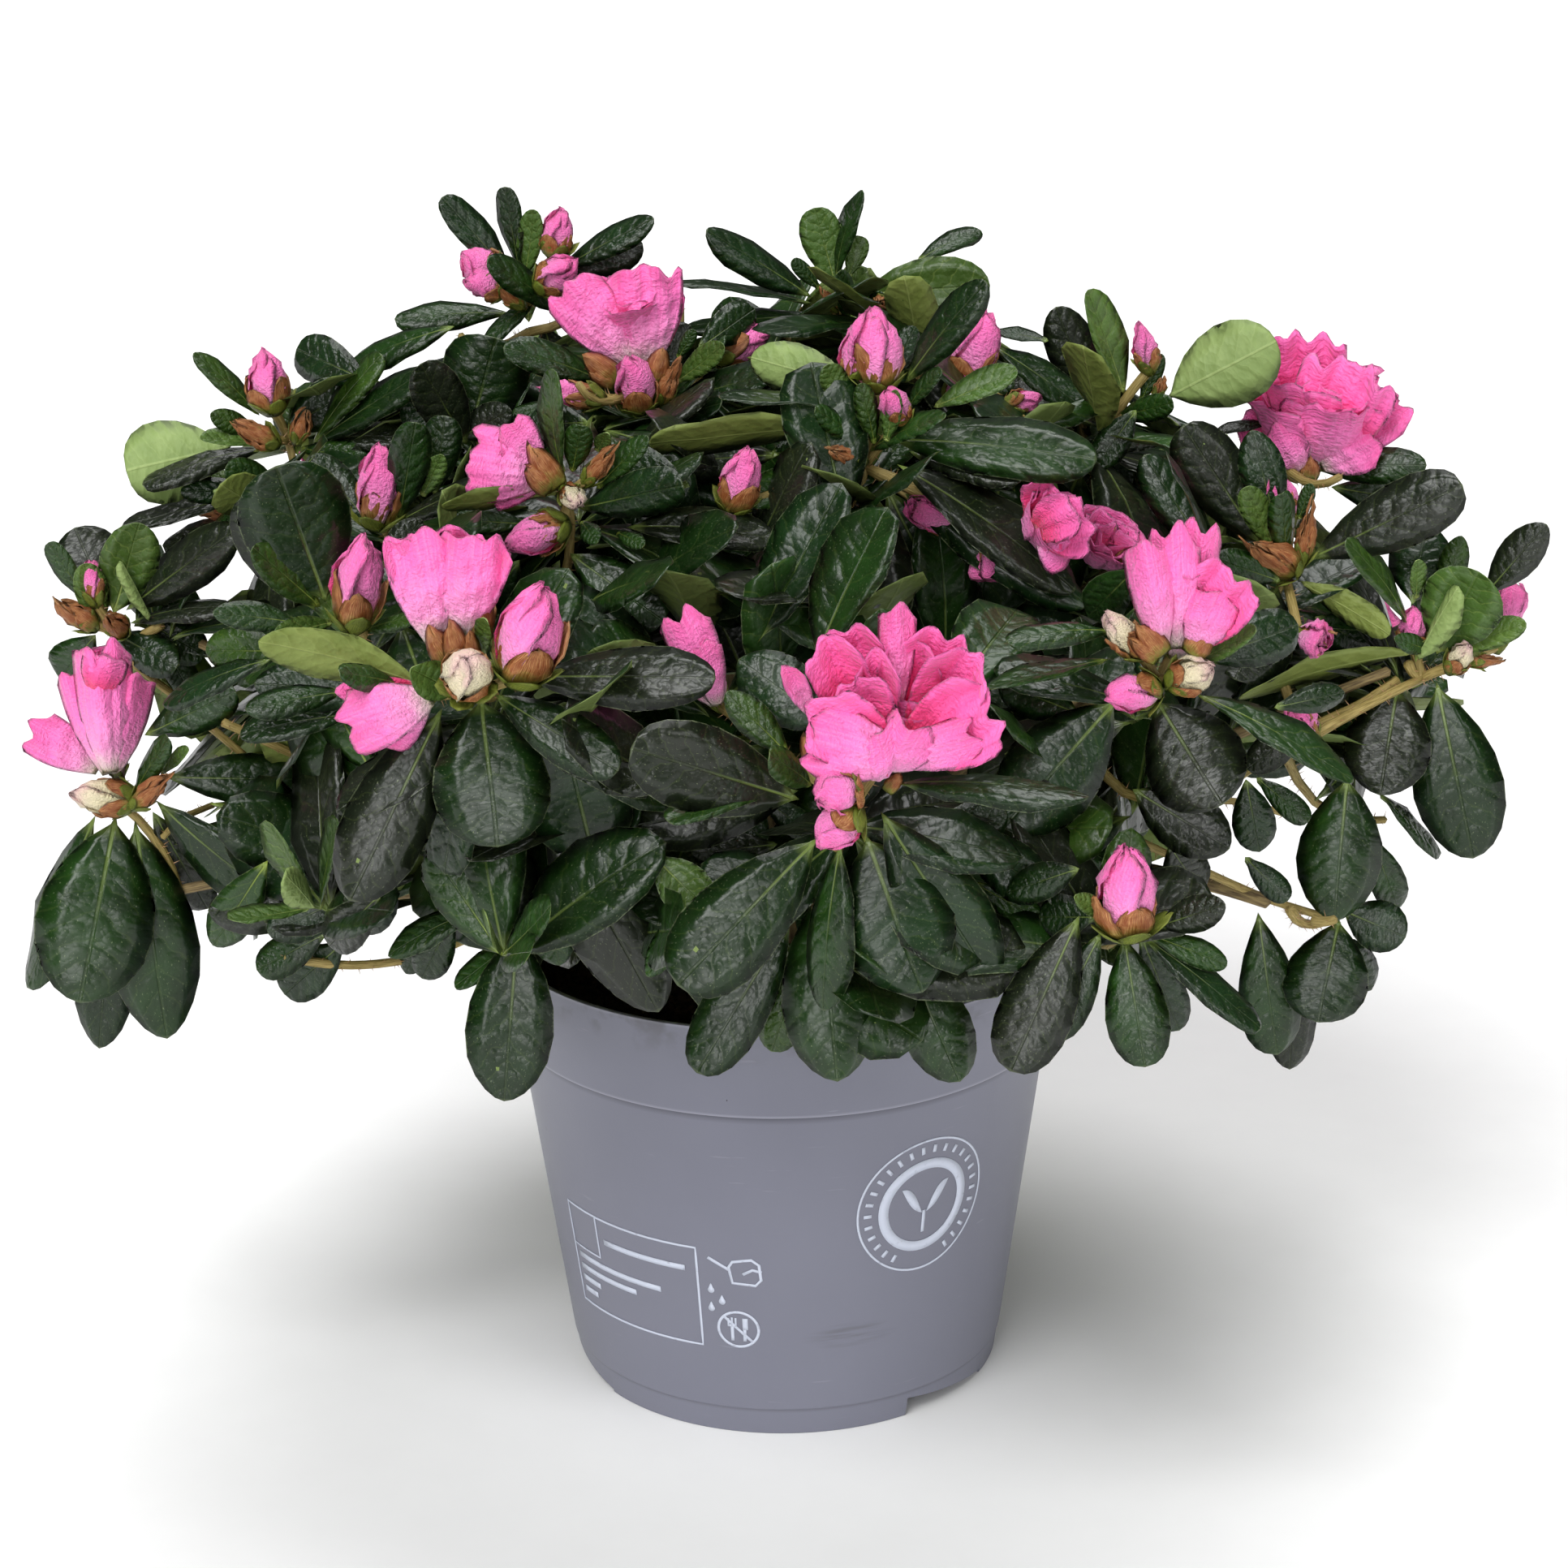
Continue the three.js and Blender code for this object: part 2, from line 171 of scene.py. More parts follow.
def inside(place, outline):
    """Whether a place in the frame is inside a closed outline."""
    x, y = place
    within = False
    for (x0, y0), (x1, y1) in zip(outline, outline[1:] + outline[:1]):
        if (y0 > y) != (y1 > y) and x < x0 + (x1 - x0) * (y - y0) / (y1 - y0):
            within = not within
    return within


def new_object(name, data):
    """A new object in the scene, at the origin."""
    piece = bpy.data.objects.new(name, data)
    bpy.context.scene.collection.objects.link(piece)
    return piece


# ---------------------------------------------------------------- materials


def linear(hex_colour):
    """An sRGB hex value as linear RGBA."""
    channels = [int(hex_colour[i : i + 2], 16) / 255 for i in (1, 3, 5)]
    return [c / 12.92 if c <= 0.04045 else ((c + 0.055) / 1.055) ** 2.4 for c in channels] + [1.0]


MIXED_COLOUR = 2  # where a mixing node has its colour among its outputs


def add(tree, kind, links=None, stops=None, **settings):
    """Adds a node; a kind without a prefix is a shader node's. links gives an input a value, a hex
    colour, or a node or output that feeds it. A mixing node feeds it with its colour, and any
    other node with its first output."""
    node = tree.nodes.new(kind if "Node" in kind else "ShaderNode" + kind)
    for name, value in settings.items():
        setattr(node, name, value)
    if stops:
        ramp = node.color_ramp
        while len(ramp.elements) < len(stops):
            ramp.elements.new(0.5)
        for element, (place, colour) in zip(ramp.elements, stops):
            element.position = place
            element.color = linear(colour)
    for key, value in (links or {}).items():
        if isinstance(value, bpy.types.Node):
            value = value.outputs[MIXED_COLOUR if value.bl_idname == "ShaderNodeMix" else 0]
        if isinstance(value, bpy.types.NodeSocket):
            tree.links.new(value, node.inputs[key])
        else:
            node.inputs[key].default_value = linear(value) if isinstance(value, str) else value
    return node


def new_material(name, sockets):
    """A material with one Principled shader; constants go straight to its sockets."""
    material = bpy.data.materials.new(name)
    material.use_nodes = True
    shader = material.node_tree.nodes["Principled BSDF"]
    for key, value in sockets.items():
        shader.inputs[key].default_value = value
    return material, material.node_tree, shader


def surface(tree, shader, colour, height=None, strength=0.0, depth=0.0, raised=True):
    """Gives a shader its colour and, where there is a height, a relief as deep in millimetres."""
    tree.links.new(colour.outputs[MIXED_COLOUR], shader.inputs["Base Color"])
    if height is not None:
        bump = add(tree, "Bump", {
            "Strength": strength, "Distance": depth * MM, "Height": height}, invert=not raised)
        tree.links.new(bump.outputs[0], shader.inputs["Normal"])


def streaks_along(tree, place, stretch, detail, scale=1.0):
    """The streaks that fibres, hairs and scratches leave: a pattern stretched along one way."""
    drawn = add(tree, "VectorMath", {0: place, 1: stretch}, operation="MULTIPLY")
    return add(tree, "TexNoise", {"Vector": drawn, "Scale": scale, "Detail": detail})


LEAF_CELLS = 4  # variants of the leaf's pattern, side by side in its map
CELL_MARGIN = 0.02
CELL_SHIFT = 3.0  # how far apart the variants' patterns lie, in leaf lengths


def leaf_places(tree):
    """Where a spot is on its leaf: across from -1 to 1, along from 0 to 1, and which variant."""
    spot = add(tree, "SeparateXYZ", {0: add(tree, "UVMap", uv_map="OFBake")})
    span = 1 - 2 * CELL_MARGIN
    places = []
    for output, parts, low, high in ((0, LEAF_CELLS, -1.0, 1.0), (1, 2, 0.0, 1.0)):
        scaled = add(tree, "Math", {0: spot.outputs[output], 1: parts}, operation="MULTIPLY")
        share = add(tree, "Math", {0: scaled}, operation="FRACT")
        places.append(add(tree, "MapRange", {
            0: share, 1: CELL_MARGIN, 2: CELL_MARGIN + span, 3: low, 4: high}))
        if output == 0:
            whole = add(tree, "Math", {0: scaled}, operation="FLOOR")
            variant = add(tree, "Math", {0: whole, 1: LEAF_CELLS - 1}, operation="DIVIDE")
    return places[0], places[1], variant


def leaf_veins(tree):
    """The leaf's midrib and side veins as masks, and the height of the puckers between them."""
    blade = add(tree, "UVMap", uv_map="Blade")
    spot = add(tree, "SeparateXYZ", {0: blade})
    x = add(tree, "Math", {
        0: spot.outputs[0], 1: CELL_SHIFT / 2, 2: -CELL_SHIFT / 2}, operation="WRAP")
    x = add(tree, "Math", {0: x}, operation="ABSOLUTE")
    wobble = add(tree, "TexNoise", {"Vector": blade, "Scale": 8.0, "Detail": 2.0})
    # side veins leave the midrib at about 50 degrees, one for each 6 mm, and curve to the tip
    slant = add(tree, "Math", {0: x, 1: -0.95, 2: spot.outputs[1]}, operation="MULTIPLY_ADD")
    slant = add(tree, "Math", {0: wobble, 1: 0.16, 2: slant}, operation="MULTIPLY_ADD")
    turns = add(tree, "Math", {0: slant, 1: 14.0}, operation="MULTIPLY")
    side = add(tree, "Math", {0: turns, 1: 1.0}, operation="PINGPONG")
    rib = add(tree, "MapRange", {
        0: x, 1: 0.003, 2: 0.011, 3: 1.0, 4: 0.0}, interpolation_type="SMOOTHSTEP")
    side_mask = add(tree, "MapRange", {
        0: side, 1: 0.0, 2: 0.13, 3: 1.0, 4: 0.0}, interpolation_type="SMOOTHSTEP")
    height = add(tree, "MapRange", {
        0: side, 1: 0.0, 2: 0.8, 4: 0.7}, interpolation_type="SMOOTHSTEP")
    # the net: pillows about 4 mm wide, with finer ones of 1.7 mm on them
    for scale, share in ((11.5, 1.3), (27.0, 0.55)):
        net = add(tree, "TexVoronoi", {"Vector": blade, "Scale": scale, "Randomness": 0.9})
        net = add(tree, "Math", {0: net, 1: 2.0}, operation="POWER")
        height = add(tree, "Math", {0: net, 1: -share, 2: height}, operation="MULTIPLY_ADD")
    height = add(tree, "Math", {0: rib, 1: -0.9, 2: height}, operation="MULTIPLY_ADD")
    return blade, rib, side_mask, height


def pale_hairs(tree, blade, across, along):
    """Where a leaf is pale: flecks of hair, its fringed rim and the nib at its tip."""
    # flat white hairs, drawn about 1 mm long, twice their real size
    hairs = streaks_along(tree, blade, (120.0, 60.0, 1.0), 1.0)
    hairs = add(tree, "MapRange", {0: hairs, 1: 0.66, 2: 0.76, 3: 0.0, 4: 0.35})
    edge = add(tree, "Math", {0: across}, operation="ABSOLUTE")
    frayed = add(tree, "TexNoise", {"Vector": blade, "Scale": 60.0})
    edge = add(tree, "Math", {0: frayed, 1: 0.06, 2: edge}, operation="MULTIPLY_ADD")
    edge = add(tree, "MapRange", {0: edge, 1: 1.0, 2: 1.03, 3: 0.0, 4: 0.5})
    nib = add(tree, "MapRange", {0: along, 1: 0.982, 2: 0.995, 3: 0.0, 4: 0.25})
    pale = add(tree, "Math", {0: hairs, 1: edge}, operation="MAXIMUM")
    return add(tree, "Math", {0: pale, 1: nib}, operation="MAXIMUM")


def leaf_upper(name, tints, rib_colour, vein_share, gloss, coat):
    """Azalea leaf, upper side: a dark blade under a waxy cuticle, puckered between its sunken
    veins, with flecks of flat white hair and a fine pale rim. The wax gives grey sheens that the
    puckers break up."""
    material, tree, shader = new_material(name, {
        "Roughness": gloss, "IOR": 1.45, "Specular IOR Level": 0.42,
        "Coat Weight": coat, "Coat Roughness": 0.16})
    across, along, variant = leaf_places(tree)
    blade, rib, side, height = leaf_veins(tree)
    base = add(tree, "ValToRGB", {0: variant}, stops=[
        (0.0, tints[0]), (0.33, tints[1]), (0.67, tints[2]), (1.0, tints[3])])
    cloud = add(tree, "TexNoise", {"Vector": blade, "Scale": 4.0, "Detail": 3.0})
    cloud = add(tree, "MapRange", {0: cloud, 1: 0.35, 2: 0.7, 3: 0.0, 4: 0.75})
    colour = add(tree, "Mix", {0: cloud, 6: base, 7: tints[4]}, data_type="RGBA")
    lines = add(tree, "Math", {0: side, 1: vein_share}, operation="MULTIPLY")
    colour = add(tree, "Mix", {0: lines, 6: colour, 7: rib_colour}, data_type="RGBA")
    # the midrib and the short stalk are yellow green, and fade towards the tip
    fade = add(tree, "MapRange", {0: along, 1: 0.05, 2: 0.6, 3: 0.85, 4: 0.05})
    fade = add(tree, "Math", {0: fade, 1: rib}, operation="MULTIPLY")
    stalk = add(tree, "MapRange", {0: along, 1: 0.03, 2: 0.13, 3: 0.9, 4: 0.0})
    fade = add(tree, "Math", {0: fade, 1: stalk}, operation="MAXIMUM")
    colour = add(tree, "Mix", {0: fade, 6: colour, 7: rib_colour}, data_type="RGBA")
    pale = pale_hairs(tree, blade, across, along)
    colour = add(tree, "Mix", {0: pale, 6: colour, 7: "#8F9C74"}, data_type="RGBA")
    surface(tree, shader, colour, height, 0.7, 0.3)
    return material


def leaf_lower(name, tint, net_tint):
    """Azalea leaf, underside: matt and pale, with the veins raised in a net."""
    material, tree, shader = new_material(name, {"Roughness": 0.55, "IOR": 1.4})
    blade, rib, side, height = leaf_veins(tree)
    lines = add(tree, "Math", {0: side, 1: 0.35}, operation="MULTIPLY")
    lines = add(tree, "Math", {0: lines, 1: rib}, operation="MAXIMUM")
    cloud = add(tree, "TexNoise", {"Vector": blade, "Scale": 5.0, "Detail": 3.0})
    colour = add(tree, "Mix", {0: cloud, 6: tint, 7: net_tint}, data_type="RGBA")
    colour = add(tree, "Mix", {0: lines, 6: colour, 7: net_tint}, data_type="RGBA")
    surface(tree, shader, colour, height, 0.5, 0.4, raised=False)
    return material


def petal_skin(name, side_stops, streak_tint, sheen):
    """Azalea petal: thin, crinkled and satiny, greenish white at the foot and deep pink above,
    with faint lengthwise veins."""
    material, tree, shader = new_material(name, {
        "Roughness": 0.5, "IOR": 1.4, "Sheen Weight": sheen, "Sheen Roughness": 0.4})
    place = add(tree, "UVMap", uv_map="OFBake")
    spot = add(tree, "SeparateXYZ", {0: place})
    streaks = streaks_along(tree, place, (60.0, 3.0, 1.0), 3.0)
    blur = add(tree, "TexNoise", {"Vector": place, "Scale": 9.0, "Detail": 2.0})
    height = add(tree, "Math", {0: blur, 1: 0.16, 2: spot.outputs[1]}, operation="MULTIPLY_ADD")
    height = add(tree, "Math", {0: height, 1: 0.08}, operation="SUBTRACT")
    colour = add(tree, "ValToRGB", {0: height}, stops=side_stops)
    share = add(tree, "MapRange", {0: streaks, 1: 0.45, 2: 0.7, 3: 0.0, 4: 0.3})
    colour = add(tree, "Mix", {0: share, 6: colour, 7: streak_tint}, data_type="RGBA")
    crinkle = add(tree, "TexNoise", {"Vector": place, "Scale": 26.0, "Detail": 4.0})
    relief = add(tree, "Math", {0: streaks, 1: 0.3, 2: crinkle}, operation="MULTIPLY_ADD")
    surface(tree, shader, colour, relief, 0.9, 1.2)
    return material


def papery_scale(name, dark, light, green=0.0):
    """Bud scale: a papery bract, fibrous along its length, dry above and green at the foot."""
    material, tree, shader = new_material(name, {"Roughness": 0.42, "IOR": 1.45})
    place = add(tree, "UVMap", uv_map="OFBake")
    fibres = streaks_along(tree, place, (90.0, 4.0, 1.0), 4.0)
    share = add(tree, "MapRange", {0: fibres, 1: 0.38, 2: 0.64})
    # blotched, and bleached towards the edge
    blotch = add(tree, "TexNoise", {"Vector": place, "Scale": 7.0, "Detail": 3.0})
    blotch = add(tree, "MapRange", {0: blotch, 1: 0.35, 2: 0.65, 3: 0.25, 4: 1.0})
    share = add(tree, "Math", {0: share, 1: blotch}, operation="MULTIPLY")
    height = add(tree, "SeparateXYZ", {0: place})
    bleach = add(tree, "MapRange", {0: height.outputs[1], 1: 0.8, 2: 1.0, 3: 0.0, 4: 0.8})
    share = add(tree, "Math", {0: share, 1: bleach}, operation="MAXIMUM")
    colour = add(tree, "Mix", {0: share, 6: dark, 7: light}, data_type="RGBA")
    # still green at the foot
    fresh = add(tree, "Math", {0: blotch, 1: -0.25, 2: height.outputs[1]}, operation="MULTIPLY_ADD")
    fresh = add(tree, "MapRange", {0: fresh, 1: -0.05, 2: 0.3, 3: green, 4: 0.0})
    colour = add(tree, "Mix", {0: fresh, 6: colour, 7: "#7E8A38"}, data_type="RGBA")
    surface(tree, shader, colour, fibres, 0.7, 0.6)
    return material


def bark_skin(name, dark, light, grain, roughness):
    """Young bark: fibrous along the limb, with darker flecks where hairs and leaf scars were."""
    material, tree, shader = new_material(name, {"Roughness": roughness, "IOR": 1.45})
    place = add(tree, "UVMap", uv_map="Limb")
    fibres = streaks_along(tree, place, (9.0, 2.0, 1.0), 5.0, grain)
    flecks = add(tree, "TexVoronoi", {"Vector": place, "Scale": grain * 4})
    flecks = add(tree, "MapRange", {0: flecks, 1: 0.1, 2: 0.35, 3: 0.6, 4: 0.0})
    share = add(tree, "MapRange", {0: fibres, 1: 0.35, 2: 0.65})
    colour = add(tree, "Mix", {0: share, 6: dark, 7: light}, data_type="RGBA")
    colour = add(tree, "Mix", {0: flecks, 6: colour, 7: dark}, data_type="RGBA")
    surface(tree, shader, colour, fibres, 0.6, 0.6)
    return material


def pot_dirt(tree, place, spot):
    """Where the pot is dirty: specks, dust under the lip and one smear."""
    # specks of substrate, about 1 mm
    specks = add(tree, "TexVoronoi", {"Vector": place, "Scale": 75.0, "Randomness": 1.0})
    few = add(tree, "TexNoise", {"Vector": place, "Scale": 33.0})
    few = add(tree, "MapRange", {0: few, 1: 0.60, 2: 0.66})
    specks = add(tree, "MapRange", {0: specks, 1: 0.03, 2: 0.07, 3: 0.8, 4: 0.0})
    specks = add(tree, "Math", {0: specks, 1: few}, operation="MULTIPLY")
    # dust washed down from the lip
    high = add(tree, "MapRange", {
        0: spot.outputs[2], 1: DUST_FOOT * MM, 2: POT_LIP_HEIGHT * MM, 4: 0.9})
    wash = add(tree, "TexNoise", {"Vector": place, "Scale": 120.0, "Detail": 4.0})
    wash = add(tree, "MapRange", {0: wash, 1: 0.52, 2: 0.66})
    wash = add(tree, "Math", {0: wash, 1: high}, operation="MULTIPLY")
    wash = add(tree, "Math", {0: wash, 1: 0.5}, operation="MULTIPLY")
    dirt = add(tree, "Math", {0: specks, 1: wash}, operation="MAXIMUM")
    # one grey smear low on the front
    away = add(tree, "VectorMath", {0: place, 1: SMEAR_PLACE}, operation="SUBTRACT")
    away = add(tree, "VectorMath", {0: away, 1: (80.0, 40.0, 260.0)}, operation="MULTIPLY")
    away = add(tree, "VectorMath", {0: away}, operation="LENGTH").outputs["Value"]
    smear = add(tree, "MapRange", {0: away, 1: 0.2, 2: 1.0, 3: 0.45, 4: 0.0})
    rubbed = streaks_along(tree, place, ROUND_THE_POT, 5.0, 0.5)
    rubbed = add(tree, "MapRange", {0: rubbed, 1: 0.46, 2: 0.6})
    smear = add(tree, "Math", {0: smear, 1: rubbed}, operation="MULTIPLY")
    return add(tree, "Math", {0: dirt, 1: smear}, operation="MAXIMUM")


def moulded_polypropylene():
    """Injection-moulded polypropylene: satin blue-grey with a fine moulded grain, faint swirls
    from handling, soil dust under the lip, dark specks, and painted light along its edges."""
    material, tree, shader = new_material("moulded_polypropylene", {"IOR": 1.49})
    place = add(tree, "TexCoord").outputs["Object"]
    spot = add(tree, "SeparateXYZ", {0: place})
    cloud = add(tree, "TexNoise", {"Vector": place, "Scale": 28.0, "Detail": 3.0})
    colour = add(tree, "Mix", {0: cloud, 6: "#70717F", 7: "#7A7B89"}, data_type="RGBA")
    # painted highlight on the band's edge and under the lip, painted shade under the band and foot
    for level, depth, tone, strength in PAINTED_EDGE_LIGHT:
        near = add(tree, "MapRange", {
            0: spot.outputs[2], 1: (level + depth) * MM, 2: level * MM, 3: 0.0, 4: strength})
        beyond = add(tree, "Math", {0: spot.outputs[2], 1: level * MM},
                     operation="LESS_THAN" if depth < 0 else "GREATER_THAN")
        line = add(tree, "Math", {0: near, 1: beyond}, operation="MULTIPLY")
        colour = add(tree, "Mix", {0: line, 6: colour, 7: tone}, data_type="RGBA")
    # thin pale scratches, stretched round the pot
    scratch = streaks_along(tree, place, ROUND_THE_POT, 3.0)
    scratch = add(tree, "MapRange", {0: scratch, 1: 0.70, 2: 0.76, 3: 0.0, 4: 0.2})
    colour = add(tree, "Mix", {0: scratch, 6: colour, 7: "#A9A9B6"}, data_type="RGBA")
    dirt = pot_dirt(tree, place, spot)
    colour = add(tree, "Mix", {0: dirt, 6: colour, 7: "#3A352F"}, data_type="RGBA")
    grain = add(tree, "TexNoise", {"Vector": place, "Scale": 1400.0, "Detail": 2.0})
    rough = add(tree, "MapRange", {0: cloud, 1: 0.3, 2: 0.7, 3: 0.36, 4: 0.48})
    tree.links.new(rough.outputs[0], shader.inputs["Roughness"])
    surface(tree, shader, colour, grain, 0.15, 0.1)
    return material


def printing_ink():
    """Pad-printed ink: thin, pale blue-grey and slightly worn through."""
    material, tree, shader = new_material("pad_printing_ink", {"Roughness": 0.5, "IOR": 1.5})
    place = add(tree, "TexCoord").outputs["Object"]
    worn = add(tree, "TexNoise", {"Vector": place, "Scale": 500.0, "Detail": 3.0})
    share = add(tree, "MapRange", {0: worn, 1: 0.6, 2: 0.75, 3: 0.0, 4: 0.6})
    colour = add(tree, "Mix", {0: share, 6: "#C6CCDC", 7: "#8E90A0"}, data_type="RGBA")
    surface(tree, shader, colour)
    return material


def peat_substrate(name, dark, light):
    """Peat potting substrate: near black, fibrous and matt."""
    material, tree, shader = new_material(name, {"Roughness": 0.95, "Specular IOR Level": 0.2})
    place = add(tree, "TexCoord").outputs["Object"]
    grain = add(tree, "TexNoise", {"Vector": place, "Scale": 420.0, "Detail": 5.0})
    share = add(tree, "MapRange", {0: grain, 1: 0.4, 2: 0.7})
    colour = add(tree, "Mix", {0: share, 6: dark, 7: light}, data_type="RGBA")
    surface(tree, shader, colour, grain, 0.8, 1.0)
    return material


# ---------------------------------------------------------------- pieces from loose shells


class Cluster:
    """Closed shells gathered into one piece, each with its faces, finishes and maps."""

    def __init__(self, name, materials, maps):
        self.name, self.materials = name, materials
        self.points, self.faces, self.finishes, self.count = [], [], [], 0
        self.maps = {m: [] for m in maps}

    def add(self, points, faces, finishes, maps):
        self.points.append(points)
        self.faces += [tuple(i + self.count for i in face) for face in faces]
        self.finishes += finishes
        self.count += len(points)
        for name, corners in maps.items():
            self.maps[name].append(corners)

    def make(self):
        mesh = bpy.data.meshes.new(self.name)
        mesh.from_pydata(np.concatenate(self.points) * MM, [], self.faces)
        mesh.polygons.foreach_set("material_index", np.array(self.finishes, np.int32))
        for name, corners in self.maps.items():
            layer = mesh.uv_layers.new(name=name, do_init=False)
            layer.data.foreach_set("uv", np.concatenate(corners).astype(np.float32).ravel())
        for material in self.materials:
            mesh.materials.append(material)
        mesh.shade_smooth()
        return new_object(self.name, mesh)


# ---------------------------------------------------------------- one leaf

FINE_ROWS = [0.05, 0.14, 0.28, 0.44, 0.6, 0.75, 0.87, 0.945, 0.985]  # leaves that are set one by one
PLAIN_ROWS = [0.06, 0.2, 0.4, 0.62, 0.82, 0.95]  # leaves that are grown by rule
LEAF_UPPER = [-1.0, -0.5, 0.0, 0.5, 1.0]
LEAF_LOWER = [0.5, 0.0, -0.5]
LEAF_THICKNESS = 0.35
LEAF_RIB = 0.6  # how far the midrib stands out below, at the stalk
LEAF_STALK = 0.8  # least half width
BLADE_ASPECT = 0.24  # half width over length, as the vein pattern is drawn


def leaf_outline(t, widest=0.6):
    """A leaf's half width along it, 1 where it is widest: narrow at the stalk, blunt at the tip."""
    s = np.clip((t - 0.05) / 0.95, 0, 1)
    rise, fall = 0.75, 0.75 * (1 - widest) / widest
    peak = widest**rise * (1 - widest) ** fall
    return s**rise * (1 - s) ** fall / peak


class LeafShape:
    """A leaf's points as (across, along, lower side), with its faces and their map places."""

    def __init__(self, rows):
        ring = [(v, 0) for v in LEAF_UPPER] + [(v, 1) for v in LEAF_LOWER]
        self.size = len(ring)
        self.points = np.array([(0.0, 0.0, 0)] + [(v, t, low) for t in rows for v, low in ring]
                               + [(0.0, 1.0, 0)])
        self.faces, self.corners, self.finishes = [], [], []
        turn = [*LEAF_UPPER, *LEAF_LOWER, LEAF_UPPER[0]]
        last = (len(rows) - 1) * self.size
        for k in range(self.size):
            a, b = turn[k], turn[k + 1]
            low = int(k >= len(LEAF_UPPER) - 1)
            near, far = 1 + k, 1 + (k + 1) % self.size
            middle = (a + b) / 2
            self.face(low, (0, middle, 0), (far, b, rows[0]), (near, a, rows[0]))
            for i, (s, t) in enumerate(zip(rows, rows[1:])):
                p, q = near + i * self.size, far + i * self.size
                quad = [(p, a, s), (q, b, s), (q + self.size, b, t), (p + self.size, a, t)]
                # by the rim both sides are cut on the same diagonal, so that they never cross
                if abs(a) == 1:
                    self.face(low, quad[0], quad[1], quad[2])
                    self.face(low, quad[0], quad[2], quad[3])
                elif abs(b) == 1:
                    self.face(low, quad[0], quad[1], quad[3])
                    self.face(low, quad[1], quad[2], quad[3])
                else:
                    self.face(low, *quad)
            self.face(low, (near + last, a, rows[-1]), (far + last, b, rows[-1]),
                      (len(self.points) - 1, middle, 1.0))
        self.maps = [self.lay_out(variant) for variant in range(LEAF_CELLS)]

    def face(self, low, *spots):
        self.faces.append(tuple(spot[0] for spot in spots))
        self.corners += [(across, along, low) for _, across, along in spots]
        self.finishes.append(low)

    def lay_out(self, variant):
        """The bake map, where each variant has its own column, and the map of true proportions."""
        across, along, low = np.array(self.corners).T
        span = 1 - 2 * CELL_MARGIN
        bake = np.stack([
            (variant + CELL_MARGIN + span * (across + 1) / 2) / LEAF_CELLS,
            (1 - low) / 2 + (CELL_MARGIN + span * along) / 2], 1)
        blade = np.stack([
            across * np.maximum(leaf_outline(along), 0.03) * BLADE_ASPECT + CELL_SHIFT * variant,
            along + CELL_SHIFT * low], 1)
        return {"OFBake": bake, "Blade": blade}


FINE_LEAF, PLAIN_LEAF = LeafShape(FINE_ROWS), LeafShape(PLAIN_ROWS)


def leaf_points(shape, base, tip, facing, width, arch, cup, twist, phase, widest):
    """A leaf's points: bent along its midrib, cupped across it and a little uneven."""
    across, along, low = shape.points.T
    chord = tip - base
    facing = across_to(facing, chord)
    side = np.cross(unit(chord), facing)
    line = base + chord * along[:, None]
    line = line + facing * (arch * 4 * along * (1 - along))[:, None]
    tangent = chord + facing * (arch * 4 * (1 - 2 * along))[:, None]
    tangent /= np.linalg.norm(tangent, axis=1)[:, None]
    normal = np.cross(side, tangent)
    angle = (twist * (along - 0.35))[:, None]
    turned = side * np.cos(angle) + normal * np.sin(angle)
    normal = normal * np.cos(angle) - side * np.sin(angle)
    half = np.maximum(width / 2 * leaf_outline(along, widest), LEAF_STALK * (along < 0.5))
    half = np.where((along == 0) | (along == 1), 0, half)
    wave = 0.05 * np.sin(10 * along + phase) * np.abs(across) ** 2 * np.sign(across)
    dent = 0.15 * np.exp(-((across / 0.35) ** 2)) * np.minimum(1, 4 * (1 - along))
    swell = 0.06 * np.sin(15 * along + 2 * phase) * np.abs(across)
    height = half * (cup * across**2 + wave + swell - dent)
    spread = across * half * math.cos(min(abs(cup), 1.2) * 0.6)
    thickness = low * (LEAF_THICKNESS + LEAF_RIB * (across == 0) * (1 - along))
    return line + turned * spread[:, None] + normal * (height - thickness)[:, None]


# ---------------------------------------------------------------- foliage bookkeeping

SKIRT_TOP, WAIST_TOP = 152.0, 214.0
TONES = ("deep", "green", "young")
CROWN_HEART = np.array([0.0, 0.0, 130.0])
POT_LIP_RADIUS = 70.0
POT_LIP_HEIGHT = 113.7
LEAF_LIMITS = np.array(cad_box) / MM + np.array([[-4.0], [4.0]])
OFF_WALL, OVER_LIP, WELL_INSIDE = 6.0, 4.0, 52.0  # how leaves keep clear of the pot's lip


def tier_of(point):
    return "skirt" if point[2] < SKIRT_TOP else "waist" if point[2] < WAIST_TOP else "crest"


def keep_clear(point):
    """Moves a leaf's tip out of the pot's wall and back inside the crown's own limits."""
    point = np.clip(point, LEAF_LIMITS[0], LEAF_LIMITS[1])
    radius = math.hypot(point[0], point[1])
    least, lowest = POT_LIP_RADIUS + OFF_WALL, POT_LIP_HEIGHT + OVER_LIP
    if point[2] < lowest and radius < least:
        if radius > WELL_INSIDE:
            point[:2] *= least / radius
        else:
            point[2] = lowest
    return point


